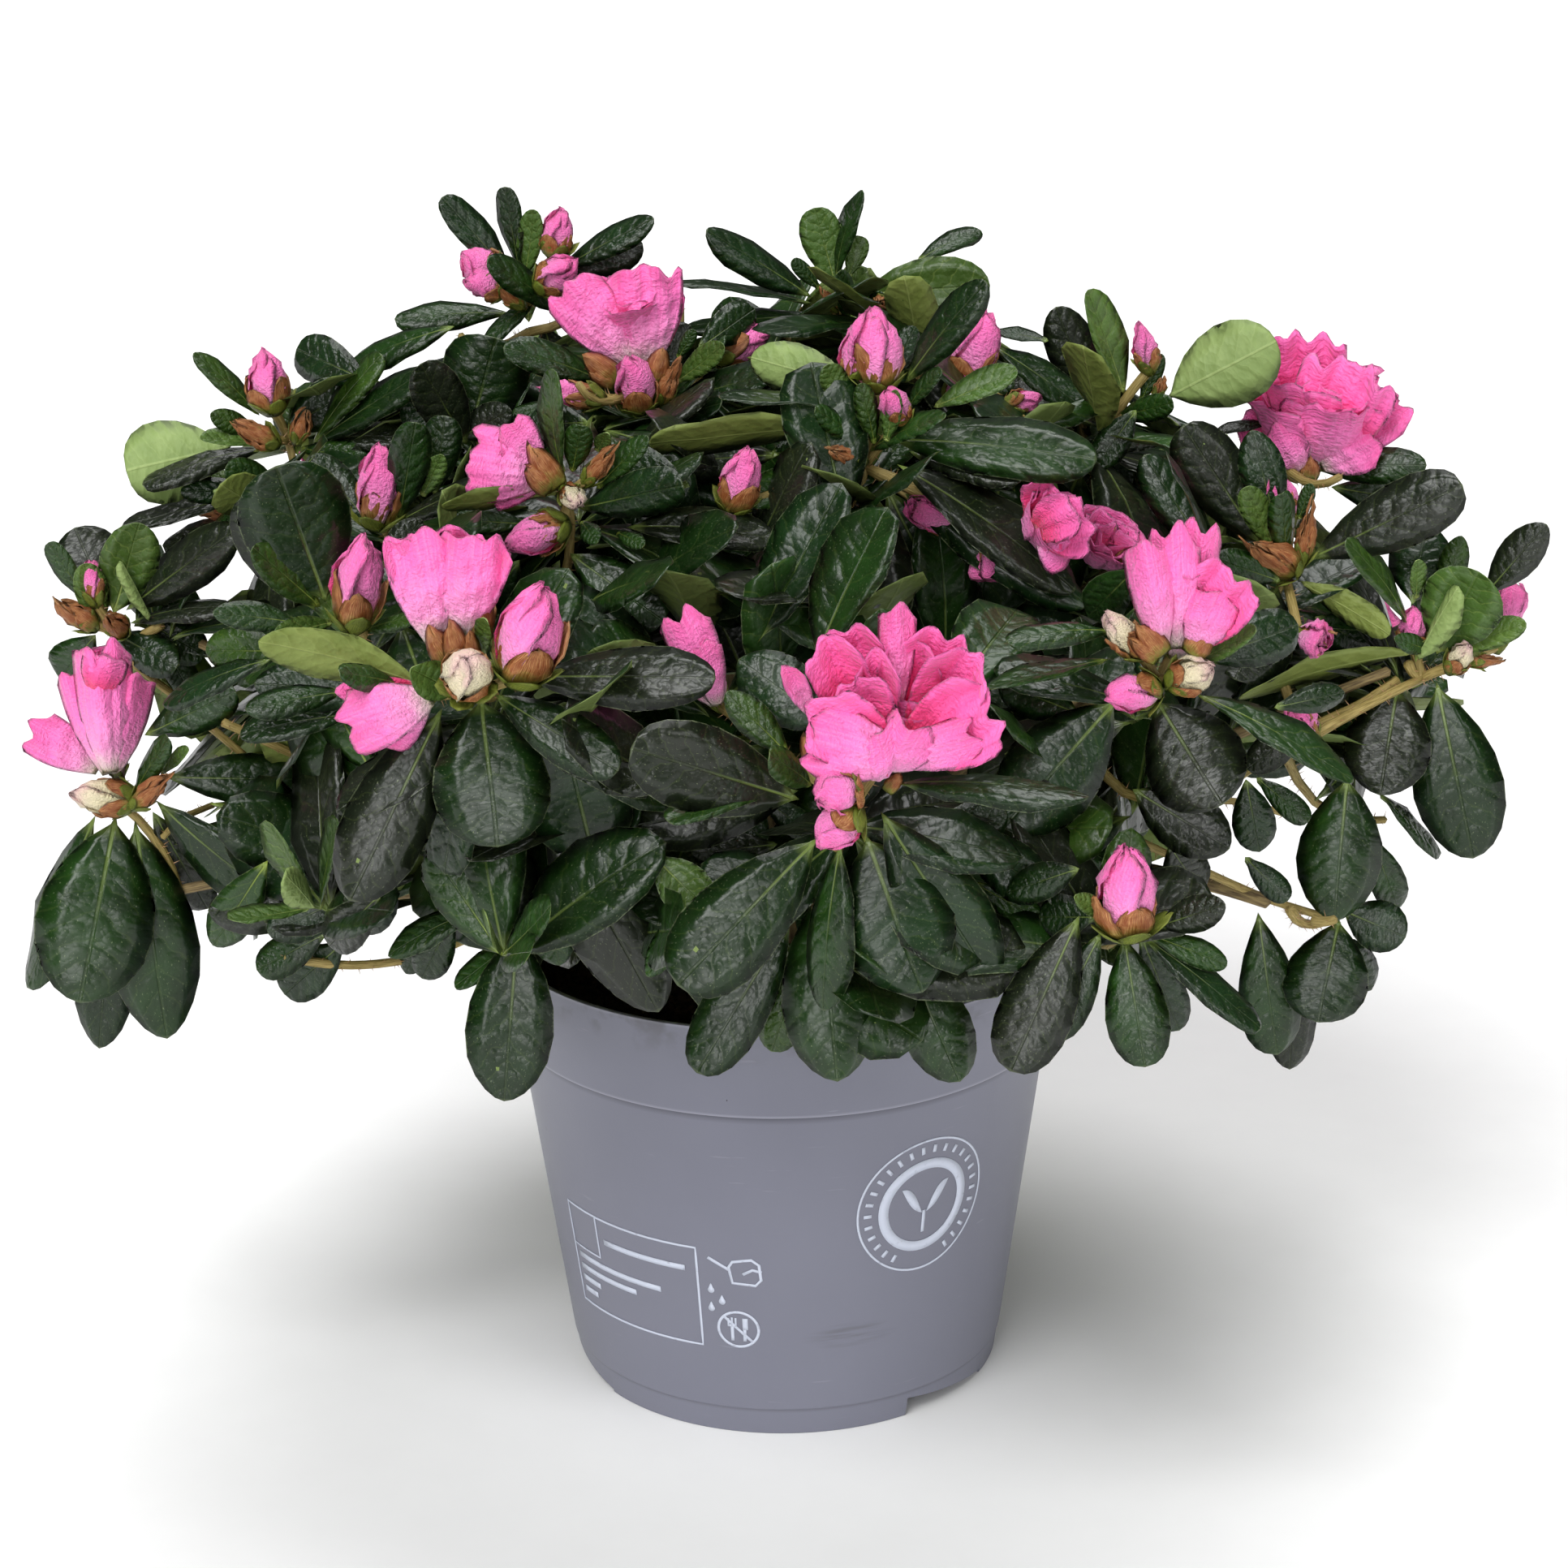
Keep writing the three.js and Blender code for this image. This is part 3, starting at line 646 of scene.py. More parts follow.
class Foliage:
    """Every leaf, by tier and tone."""

    def __init__(self, finishes):
        self.clusters = {
            (tier, tone): Cluster(f"leaves_{tier}_{tone}", finishes[tone], ("OFBake", "Blade"))
            for tier in ("skirt", "waist", "crest") for tone in TONES}
        self.count = 0

    def add(self, rng, tone, base, tip, facing, width, arch=None, cup=None, twist=None,
            shape=PLAIN_LEAF):
        tip = keep_clear(np.array(tip, float))
        length = np.linalg.norm(tip - base)
        if length < 5:
            return
        arch = length * rng.uniform(0.03, 0.10) if arch is None else arch
        cup = rng.uniform(-0.34, 0.12) if cup is None else cup
        twist = rng.uniform(-0.35, 0.35) if twist is None else twist
        points = leaf_points(shape, base, tip, facing, width, arch, cup, twist,
                             rng.uniform(0, 6.28), rng.uniform(0.55, 0.66))
        variant = int(rng.integers(LEAF_CELLS))
        cluster = self.clusters[tier_of(base), tone]
        cluster.add(points, shape.faces, shape.finishes, shape.maps[variant])
        self.count += 1


# ---------------------------------------------------------------- sprays that face the front

# Each spray: where its head shows, its depth y, and its leaves. A leaf is its stalk's place, its
# tip's place, the width that shows, how far the tip comes forward of the stalk in millimetres,
# and its tone: d deep, g green, y young. A capital letter shows its underside.
SPRAYS = {
    "front_middle": (1050, 992, -125, [
        (1008, 1032, 834, 1214, 122, 12, "d"), (1066, 1028, 1137, 1223, 150, 9, "d"),
        (1085, 1000, 1222, 1210, 108, 0, "d"), (985, 985, 777, 922, 112, 14, "d"),
        (958, 976, 822, 1012, 28, 16, "g"), (1105, 966, 1342, 982, 46, 14, "d"),
        (972, 930, 895, 852, 46, -4, "g"), (1000, 968, 948, 930, 42, 16, "g"),
        (1032, 900, 910, 812, 88, -12, "d"), (1112, 948, 1220, 920, 34, 4, "g")]),
    "front_skirt": (1050, 1120, -112, [
        (975, 1130, 858, 1322, 85, 8, "d"), (1010, 1092, 1032, 1333, 124, 12, "d"),
        (1112, 1170, 1183, 1333, 92, 8, "d"), (985, 1190, 950, 1296, 60, 2, "g"),
        (1182, 1020, 1290, 1104, 72, 4, "d"), (1200, 1088, 1287, 1136, 38, 0, "g"),
        (850, 1112, 797, 1203, 38, 2, "g"), (805, 1055, 872, 1122, 66, 4, "y"),
        (865, 968, 731, 962, 42, -4, "d"), (1140, 1040, 1240, 1000, 60, -6, "d")]),
    "front_left": (582, 850, -105, [
        (592, 858, 613, 1044, 148, 12, "d"), (545, 872, 430, 1110, 112, 12, "d"),
        (645, 834, 882, 836, 78, 12, "d"), (610, 856, 762, 950, 70, 14, "d"),
        (520, 842, 318, 790, 62, 8, "G"), (492, 842, 418, 828, 36, 14, "g"),
        (562, 852, 506, 824, 52, 14, "y"), (597, 806, 597, 762, 20, 8, "y")]),
    "left_skirt": (610, 1000, -96, [
        (605, 985, 614, 1157, 112, 2, "d"), (672, 995, 812, 1247, 116, 6, "d"),
        (638, 1140, 621, 1357, 110, 8, "d"), (650, 1150, 560, 1216, 30, 0, "g"),
        (598, 1118, 478, 1178, 38, 2, "g"), (560, 1125, 520, 1206, 50, -4, "d"),
        (560, 1020, 545, 1115, 70, -8, "d"), (660, 1090, 690, 1190, 60, -6, "g"),
        (480, 1060, 440, 1150, 70, -14, "d"), (470, 1100, 405, 1165, 60, -16, "d")]),
    "left_end": (150, 992, -30, [
        (143, 1004, 98, 1236, 148, 14, "d"), (166, 1010, 206, 1280, 116, 6, "d"),
        (118, 1004, 33, 1217, 64, 0, "d"), (140, 1090, 122, 1292, 76, 2, "d"),
        (188, 1000, 256, 1120, 62, -10, "d"), (192, 986, 385, 1137, 74, 6, "d"),
        (178, 906, 291, 852, 62, 2, "d"), (205, 958, 378, 960, 66, -4, "d"),
        (165, 978, 207, 908, 30, 6, "g"), (198, 954, 232, 922, 16, 4, "y"),
        (258, 990, 408, 1030, 28, -8, "g")]),
    "left_low": (420, 1150, -60, [
        (398, 1120, 256, 1122, 66, -4, "d"), (402, 1150, 316, 1195, 52, 0, "d"),
        (425, 1160, 350, 1225, 62, -6, "d"), (330, 1060, 262, 1165, 60, -8, "g"),
        (440, 1100, 330, 1150, 60, 4, "d"), (520, 1150, 500, 1200, 40, -6, "d")]),
    "left_shoulder": (132, 772, 10, [
        (125, 774, 104, 694, 42, 4, "y"), (140, 757, 172, 644, 74, 4, "y"),
        (110, 744, 60, 668, 28, 0, "g"), (135, 748, 92, 650, 88, -10, "d"),
        (155, 752, 294, 650, 66, 8, "d"), (160, 768, 291, 749, 26, 8, "d"),
        (140, 780, 218, 822, 54, 12, "d"), (180, 766, 253, 808, 52, 0, "d"),
        (118, 782, 73, 836, 62, -4, "d"), (165, 772, 238, 722, 96, -14, "d"),
        (222, 868, 162, 816, 26, 0, "D"), (205, 800, 232, 850, 44, -6, "d")]),
    "upper_left": (352, 535, 25, [
        (320, 512, 238, 435, 28, 2, "g"), (285, 550, 155, 580, 104, 4, "Y"),
        (330, 552, 175, 597, 36, 8, "d"), (315, 532, 259, 510, 30, 6, "g"),
        (330, 547, 246, 540, 22, 8, "y"), (352, 528, 432, 482, 64, -4, "d"),
        (385, 548, 471, 437, 32, 0, "g"), (385, 548, 523, 458, 42, 8, "d"),
        (455, 470, 365, 430, 62, -14, "d"), (560, 402, 425, 451, 40, -6, "d"),
        (370, 552, 452, 566, 40, 8, "g"), (345, 605, 278, 575, 44, 10, "g"),
        (312, 602, 222, 606, 34, 4, "d"), (300, 612, 150, 648, 30, 2, "d"),
        (330, 640, 200, 672, 40, 0, "d"), (385, 545, 500, 540, 34, 6, "d")]),
    "left_breast": (432, 775, -55, [
        (402, 742, 340, 574, 138, 10, "d"), (388, 752, 298, 612, 84, 0, "d"),
        (395, 748, 311, 674, 48, 12, "g"), (370, 768, 262, 755, 38, 6, "g"),
        (410, 766, 337, 784, 34, 12, "y"), (352, 802, 253, 802, 62, -8, "g"),
        (450, 776, 520, 758, 24, 8, "g"), (335, 812, 200, 868, 36, -4, "d"),
        (472, 852, 313, 842, 66, 0, "d"), (425, 852, 302, 874, 42, 6, "d"),
        (440, 880, 295, 906, 44, 2, "d"), (470, 700, 520, 640, 44, -8, "d")]),
    "left_breast_high": (468, 640, -12, [
        (492, 640, 512, 520, 54, 8, "d"), (535, 610, 548, 512, 52, 0, "d"),
        (490, 644, 612, 590, 38, 8, "d"), (520, 612, 545, 560, 30, 6, "y"),
        (455, 645, 385, 560, 50, -8, "d")]),
    "left_peak_shadow": (590, 540, 18, [
        (575, 545, 612, 416, 112, 0, "d"), (575, 548, 518, 448, 66, 10, "d"),
        (565, 540, 630, 505, 48, 4, "d"), (560, 545, 500, 490, 60, -4, "d")]),
    "top_left": (645, 372, 55, [
        (632, 346, 544, 243, 42, 0, "d"), (640, 332, 622, 230, 30, 0, "d"),
        (645, 346, 658, 258, 32, 4, "y"), (690, 332, 806, 269, 38, 2, "d"),
        (695, 336, 792, 300, 52, -6, "d"), (690, 386, 600, 320, 38, 12, "d"),
        (628, 386, 486, 393, 40, 2, "d"), (662, 364, 595, 426, 24, 8, "g"),
        (670, 400, 690, 470, 50, -4, "d"), (600, 310, 580, 296, 16, -4, "g"),
        (675, 380, 740, 380, 50, -8, "d")]),
    "top_bloom": (792, 488, 20, [
        (745, 470, 620, 428, 44, 8, "d"), (832, 472, 892, 425, 32, 8, "y"),
        (835, 442, 856, 406, 18, 2, "g"), (825, 496, 966, 455, 44, 10, "d"),
        (757, 547, 890, 496, 34, 16, "d"), (702, 500, 633, 508, 20, 4, "g"),
        (800, 470, 850, 400, 50, -10, "d"), (860, 430, 930, 380, 50, -16, "d")]),
    "middle_left": (700, 602, -45, [
        (695, 588, 681, 454, 30, 2, "g"), (705, 582, 716, 524, 38, 6, "g"),
        (735, 556, 749, 534, 22, 6, "y"), (735, 602, 799, 538, 32, 4, "g"),
        (712, 626, 842, 598, 62, 14, "d"), (690, 606, 544, 622, 28, 10, "G"),
        (652, 646, 553, 640, 36, 4, "g"), (716, 642, 736, 669, 28, 8, "g"),
        (760, 656, 793, 673, 22, 10, "g"), (702, 682, 818, 766, 76, 10, "d"),
        (772, 650, 957, 665, 54, 2, "d"), (812, 716, 901, 714, 38, -2, "d"),
        (725, 520, 648, 524, 58, -8, "d"), (850, 600, 760, 560, 50, -10, "d"),
        (640, 690, 590, 760, 60, -14, "d"), (690, 690, 640, 800, 60, -14, "d"),
        (730, 770, 790, 820, 50, -16, "d")]),
    "middle_front": (1066, 565, -25, [
        (1065, 590, 1046, 792, 150, 16, "d"), (1042, 600, 947, 750, 62, 2, "d"),
        (1090, 598, 1192, 798, 100, -2, "d"), (1098, 590, 1341, 747, 66, 14, "d"),
        (1095, 542, 1352, 566, 82, 12, "d"), (1120, 556, 1262, 590, 38, 14, "d"),
        (1070, 556, 1166, 512, 28, 14, "g"), (1044, 522, 799, 546, 42, 6, "G"),
        (1050, 504, 885, 489, 18, 4, "d"), (1066, 546, 1004, 504, 28, 10, "g"),
        (1046, 578, 913, 615, 48, 14, "g"), (1044, 500, 1018, 450, 36, 2, "y"),
        (1040, 492, 1004, 444, 34, -8, "g"), (1050, 475, 925, 440, 66, -14, "Y"),
        (1115, 472, 1216, 347, 50, 6, "d"), (1118, 505, 1160, 455, 22, 6, "g"),
        (1150, 502, 1254, 456, 36, 2, "y"), (1095, 470, 1128, 402, 34, -8, "d"),
        (1200, 600, 1255, 560, 60, -14, "d"), (950, 560, 1000, 550, 40, -10, "d"),
        (1000, 640, 890, 700, 60, -12, "d"), (960, 560, 810, 570, 60, -14, "d")]),
    "top_middle": (1042, 398, 55, [
        (1030, 352, 1003, 256, 54, 0, "y"), (1030, 348, 1063, 234, 26, 4, "d"),
        (1045, 342, 1062, 291, 28, -2, "y"), (1060, 362, 1220, 352, 82, 4, "y"),
        (1130, 322, 1209, 284, 28, -10, "d"), (1000, 366, 870, 283, 48, 6, "d"),
        (1010, 356, 976, 320, 20, 4, "g"), (1002, 374, 826, 346, 14, 4, "d"),
        (1020, 390, 846, 402, 38, 8, "d"), (1045, 396, 1034, 334, 26, 10, "g"),
        (1056, 392, 1091, 364, 26, 8, "g"), (1074, 392, 1198, 372, 28, 6, "g"),
        (960, 402, 877, 386, 52, -14, "d"), (1090, 400, 1150, 430, 50, -10, "d")]),
    "top_right_bud": (1215, 470, 20, [
        (1222, 425, 1346, 512, 42, 4, "d"), (1292, 420, 1224, 408, 18, -4, "d"),
        (1180, 480, 1250, 470, 40, 8, "d"), (1240, 500, 1300, 560, 50, -6, "d")]),
    "right_peak": (1368, 515, 35, [
        (1350, 502, 1301, 378, 64, 2, "d"), (1385, 486, 1340, 357, 44, 4, "y"),
        (1352, 500, 1344, 455, 26, 8, "g"), (1438, 490, 1573, 420, 104, 4, "Y"),
        (1405, 496, 1432, 436, 24, 0, "g"), (1376, 514, 1446, 496, 34, 12, "g"),
        (1440, 546, 1350, 546, 26, 10, "d"), (1340, 546, 1394, 598, 34, 2, "d"),
        (1318, 578, 1361, 622, 46, -2, "d"), (1300, 520, 1240, 470, 50, -8, "d")]),
    "right_flower": (1610, 580, 45, [
        (1622, 578, 1758, 573, 48, 8, "d"), (1565, 522, 1500, 530, 16, 4, "d"),
        (1640, 600, 1760, 620, 50, -6, "d")]),
    "right_shoulder": (1590, 702, -20, [
        (1572, 680, 1534, 600, 38, 6, "y"), (1585, 696, 1579, 608, 34, 10, "g"),
        (1600, 640, 1616, 596, 20, 2, "g"), (1612, 690, 1802, 597, 86, 8, "d"),
        (1575, 720, 1522, 838, 106, 12, "d"), (1560, 726, 1462, 800, 62, 6, "d"),
        (1602, 716, 1713, 782, 38, 8, "G"), (1556, 674, 1458, 524, 88, -2, "d"),
        (1572, 644, 1542, 530, 58, -2, "d"), (1500, 700, 1410, 560, 60, -12, "d"),
        (1740, 745, 1757, 645, 82, -12, "d"), (1620, 760, 1690, 800, 60, -12, "d")]),
    "right_breast": (1432, 832, -95, [
        (1372, 778, 1240, 790, 34, 12, "g"), (1366, 812, 1215, 848, 26, 14, "g"),
        (1376, 862, 1236, 1020, 124, 12, "d"), (1424, 862, 1506, 992, 130, 12, "d"),
        (1474, 856, 1668, 964, 44, 12, "g"), (1460, 820, 1548, 774, 30, 8, "y"),
        (1570, 872, 1657, 853, 38, -8, "d"), (1480, 815, 1600, 770, 70, -12, "d"),
        (1400, 700, 1340, 760, 60, -20, "d"), (1330, 880, 1230, 840, 60, -12, "d")]),
    "right_under": (1420, 975, -82, [
        (1395, 972, 1515, 1046, 80, 6, "d"), (1535, 960, 1552, 1050, 56, 0, "d"),
        (1548, 958, 1613, 1012, 34, 6, "d"), (1534, 1056, 1587, 1110, 36, 4, "d"),
        (1385, 1085, 1275, 1058, 56, 4, "d"), (1300, 1000, 1260, 1060, 60, -4, "d"),
        (1440, 1040, 1480, 1100, 60, -6, "d"), (1360, 1000, 1330, 1080, 70, -8, "d")]),
    "right_end": (1760, 828, -20, [
        (1770, 806, 1822, 704, 104, 6, "y"), (1830, 732, 1906, 646, 54, 4, "d"),
        (1785, 802, 1881, 768, 36, 8, "y"), (1736, 772, 1657, 667, 28, 8, "g"),
        (1745, 738, 1747, 690, 22, 6, "y"), (1776, 742, 1801, 660, 38, -4, "g"),
        (1722, 846, 1700, 980, 110, 12, "d"), (1770, 840, 1815, 1058, 114, 6, "d"),
        (1700, 978, 1776, 1051, 24, -8, "d"), (1745, 803, 1526, 860, 34, 10, "G"),
        (1758, 800, 1718, 786, 26, 8, "g"), (1700, 860, 1640, 900, 30, -8, "d")]),
    "right_low": (1650, 1128, -50, [
        (1550, 1124, 1574, 1300, 80, 4, "d"), (1650, 1132, 1624, 1260, 108, 8, "d"),
        (1600, 1175, 1589, 1318, 60, -4, "d"), (1655, 1122, 1732, 1155, 66, 4, "d"),
        (1660, 955, 1644, 1136, 110, 8, "d"), (1690, 1030, 1722, 1120, 46, -6, "d"),
        (1640, 1150, 1690, 1220, 60, -8, "d")]),
    "low_bud": (1392, 1148, -125, [
        (1385, 1154, 1411, 1315, 80, 8, "d"), (1410, 1156, 1554, 1268, 46, 8, "d"),
        (1415, 1152, 1512, 1190, 36, 2, "g"), (1405, 1152, 1453, 1270, 56, -6, "d"),
        (1425, 1142, 1510, 1114, 48, 6, "d"), (1356, 1150, 1290, 1282, 66, 4, "d"),
        (1330, 1128, 1244, 1320, 96, 8, "d"), (1370, 1130, 1324, 1104, 26, 4, "y"),
        (1350, 1130, 1280, 1130, 60, -8, "d"), (1330, 1070, 1240, 1100, 50, -6, "d")]),
}

# Single leaves that close the crown under the front bloom and over its bare twigs: depth y, then
# a leaf as above.
INNER_LEAVES = [
    (-92, (984, 974, 784, 1018, 92, 6, "d")), (-86, (838, 960, 946, 1036, 74, 4, "d")),
    (-90, (958, 1040, 852, 1052, 44, 4, "d")), (-88, (760, 960, 860, 1000, 60, 2, "d")),
    (-34, (1105, 572, 1325, 728, 74, 6, "d")), (-30, (1078, 548, 1060, 472, 30, 3, "g")),
    (-31, (1092, 545, 1104, 480, 26, 3, "y")), (18, (1400, 505, 1350, 575, 44, 4, "d")),
    (-26, (1578, 716, 1496, 688, 44, 4, "d")), (-38, (1618, 884, 1536, 948, 48, 3, "d")),
    (-128, (1036, 1040, 1014, 1246, 62, 3, "d")), (-89, (940, 984, 1000, 1028, 38, 2, "d")),
]

UPPER_CASE_UNDERSIDE = -1.0
TONE_OF = {"d": "deep", "g": "green", "y": "young"}
LEAF_SLENDER = 0.36  # least width over length


def spray_axis(head):
    """The way a spray points: out from the crown's heart, and up."""
    return unit(0.7 * unit(head - CROWN_HEART) + np.array([0, 0, 0.55]))


def place_front_leaf(foliage, rng, y, axis, leaf):
    """Sets a leaf so that it shows as the table says, rolled until its true width fits."""
    right0, down0, right1, down1, width, forward, tone = leaf
    base = seen(right0, down0, y)
    tip = seen(right1, down1, y - forward)
    chord = tip - base
    length = np.linalg.norm(chord)
    view = across_to(EYE - (base + tip) / 2, chord)
    shown = width * frame_unit(base)
    real = max(shown, LEAF_SLENDER * length)
    edge_on = np.cross(unit(chord), view)
    if edge_on @ axis < 0:
        edge_on = -edge_on
    face = shown / real
    facing = view * face * (UPPER_CASE_UNDERSIDE if tone.isupper() else 1)
    facing = facing + edge_on * math.sqrt(max(0, 1 - face**2))
    young = tone.lower() == "y"
    foliage.add(rng, TONE_OF[tone.lower()], base, tip, facing, real,
                arch=length * (rng.uniform(-0.03, 0.04) if young else rng.uniform(0.03, 0.09)),
                cup=rng.uniform(0.0, 0.3) if young else rng.uniform(-0.42, 0.0),
                twist=rng.uniform(-0.3, 0.3), shape=FINE_LEAF)


# ---------------------------------------------------------------- the crown's plan

# Each mass of the crown, as its solid: bearing and rise in degrees, reach and half width.
CROWN_PLAN = {
    "skirt_front": (4, 13, 140, 46), "skirt_front_left": (-29, 9, 130, 44),
    "skirt_left": (-57, 7, 130, 42), "skirt_left_end": (-79, 1, 154, 46),
    "skirt_front_right": (31, 12, 142, 47), "skirt_right": (62, 3, 138, 46),
    "skirt_right_rear": (94, 8, 142, 46), "skirt_back_right": (125, 9, 144, 50),
    "skirt_back": (156, 8, 142, 50), "skirt_back_middle": (187, 9, 144, 50),
    "skirt_back_left": (218, 8, 142, 50), "skirt_left_rear": (249, 8, 144, 48),
    "waist_front": (8, 33, 140, 44), "waist_front_left": (-31, 33, 140, 46),
    "waist_middle": (-11, 48, 112, 32), "waist_left": (-58, 35, 134, 42),
    "waist_left_end": (-92, 22, 160, 40), "waist_left_rear": (-108, 37, 154, 47),
    "waist_front_right": (41, 32, 142, 46), "waist_right": (76, 36, 138, 40),
    "waist_right_end": (82, 20, 164, 44), "waist_right_rear": (109, 33, 158, 44),
    "waist_back_right": (139, 31, 152, 52), "waist_back": (169, 32, 150, 52),
    "waist_back_left": (199, 31, 152, 52), "waist_back_far_left": (229, 33, 150, 52),
    "crest_left": (-84, 50, 124, 40), "crest_front_left": (-44, 57, 120, 42),
    "crest_front": (12, 69, 112, 42), "crest_right": (56, 50, 116, 42),
    "crest_top_right": (104, 67, 122, 40), "crest_right_rear": (114, 50, 134, 38),
    "crest_middle": (-118, 73, 120, 46), "crest_back_left": (-132, 56, 148, 42),
    "crest_back": (158, 64, 134, 46), "crest_far_back": (192, 51, 142, 50),
}


def mass_centre(name):
    bearing, rise, reach, _ = CROWN_PLAN[name]
    angle = math.radians(rise)
    out = outward(bearing) * reach * math.cos(angle)
    return CROWN_HEART + out + [0, 0, reach * math.sin(angle)]


# Masses that no spray in the table above stands for: these are grown by rule.
GROWN_MASSES = {
    "skirt_left": 1, "skirt_front_left": 1, "skirt_right_rear": 2, "skirt_back_right": 3,
    "skirt_back": 3, "skirt_back_middle": 3, "skirt_back_left": 3, "skirt_left_rear": 2,
    "waist_left_rear": 2, "waist_right_rear": 2, "waist_back_right": 3, "waist_back": 3,
    "waist_back_left": 3, "waist_back_far_left": 3, "crest_top_right": 2, "crest_right_rear": 2,
    "crest_middle": 2, "crest_back_left": 2, "crest_back": 3, "crest_far_back": 3,
    "skirt_left_end": 1, "waist_left_end": 1, "waist_right_end": 1, "skirt_right": 1,
}

# The crown's outline and the gaps where the sky shows, in the frame. Leaves that are grown by
# rule stay inside the one and out of the others.
CROWN_OUTLINE = [
    (120, 1190), (75, 1130), (120, 1015), (190, 1005), (262, 1130), (330, 1185), (420, 1172),
    (560, 1160), (598, 1170), (590, 1280), (622, 1330), (655, 1240), (690, 1182), (850, 1238),
    (880, 1280), (1030, 1295), (1170, 1290), (1225, 1250), (1330, 1230), (1395, 1280),
    (1430, 1225), (1500, 1215), (1480, 1150), (1505, 1110), (1420, 1060), (1510, 1010),
    (1590, 960), (1610, 1060), (1640, 1110), (1690, 1090), (1698, 980), (1745, 930),
    (1800, 1010), (1832, 900), (1790, 830), (1845, 780), (1842, 720), (1790, 690), (1765, 640),
    (1785, 600), (1700, 572), (1560, 560), (1520, 530), (1440, 520), (1400, 470), (1330, 395),
    (1295, 470), (1240, 430), (1195, 400), (1150, 330), (1100, 305), (1040, 300), (1000, 330),
    (920, 310), (990, 380), (900, 392), (850, 430), (810, 440), (740, 420), (700, 380),
    (690, 330), (640, 300), (605, 330), (640, 400), (600, 430), (560, 440), (480, 470),
    (420, 440), (360, 455), (330, 520), (260, 560), (240, 600), (170, 650), (100, 660),
    (90, 740), (90, 800), (210, 815), (232, 770), (240, 715), (296, 690), (300, 740),
    (262, 790), (262, 830), (200, 870), (185, 930), (200, 975), (120, 1000)]
SKY_GAPS = [
    [(1362, 572), (1428, 572), (1445, 622), (1366, 618)],
    [(222, 700), (292, 686), (302, 722), (284, 762), (238, 748)],
    [(398, 922), (432, 922), (428, 958), (392, 962)],
    [(203, 1004), (240, 1012), (284, 1092), (254, 1102)],
    [(1538, 932), (1592, 932), (1592, 952), (1538, 952)],
    [(1622, 888), (1664, 892), (1658, 918), (1636, 912)],
    [(1500, 1010), (1590, 1010), (1600, 1105), (1490, 1060)],
    [(672, 1176), (862, 1232), (864, 1254), (676, 1216)],
]


def shows_well(points):
    """Whether all the points show inside the crown's outline, in none of its gaps, and none of
    them stands in front of a listed flower."""
    for point in points:
        place = shown_at(point)
        if not inside(place, CROWN_OUTLINE) or any(inside(place, gap) for gap in SKY_GAPS):
            return False
        for (_, right0, down0, right1, down1, width, y, _) in BLOOMS + BUDS:
            away = math.hypot(place[0] - (right0 + right1) / 2, place[1] - (down0 + down1) / 2)
            room = 0.5 * width + 0.3 * math.hypot(right1 - right0, down1 - down0)
            if point[1] < y + 4 and away < room:
                return False
    return True


def try_leaf(foliage, rng, tone, base, tip, facing, width, **more):
    """Adds a leaf that is grown by rule, unless it would close a gap or leave the outline."""
    tip = keep_clear(np.array(tip, float))
    side = np.cross(unit(tip - base), across_to(facing, tip - base)) * width / 2
    middle = base + (tip - base) * 0.6
    if shows_well([base, middle + side, middle - side, tip, (tip + middle) / 2]):
        foliage.add(rng, tone, base, tip, facing, width, **more)
        return True
    return False


GOLDEN_TURN = math.radians(137.5)

# A grown spray's whorls, from the oldest leaves to the youngest: how many, how far they lean
# from the spray's axis in degrees, their length, width over length, how much they droop, how far
# below the head they stand, and their tone.
WHORLS = [
    (5, (92, 128), (38, 50), (0.46, 0.60), 0.30, 10, "deep"),
    (5, (66, 92), (36, 47), (0.42, 0.56), 0.14, 6, "deep"),
    (4, (40, 66), (24, 36), (0.38, 0.50), 0.04, 3, "green"),
    (3, (14, 38), (13, 24), (0.36, 0.5), 0.0, 1, "young"),
]


def grow_spray(foliage, rng, head, axis, size=1.0, from_behind=False):
    """A whorled spray: leaves in a golden spiral round the twig's end."""
    first = across_to([0.3, 0.2, 1.0], axis)
    second = np.cross(axis, first)
    turn = rng.uniform(0, 2 * math.pi)
    for count, leans, lengths, shares, droop, below, tone in WHORLS:
        for _ in range(count):
            turn += GOLDEN_TURN + rng.uniform(-0.2, 0.2)
            lean = math.radians(rng.uniform(*leans))
            round_axis = first * math.cos(turn) + second * math.sin(turn)
            way = axis * math.cos(lean) + round_axis * math.sin(lean)
            way = unit(way - np.array([0, 0, droop * rng.uniform(0.5, 1.4)]))
            if from_behind and way @ BACK > 0.15:
                continue
            length = rng.uniform(*lengths) * size
            base = head - axis * below * rng.uniform(0.5, 1.2)
            width = length * rng.uniform(*shares)
            try_leaf(foliage, rng, tone, base, base + way * length, axis + [0, 0, 0.25], width,
                     arch=length * (droop * 0.3 + rng.uniform(0.0, 0.05)),
                     cup=rng.uniform(-0.3, 0.1) if droop else rng.uniform(0.0, 0.35))


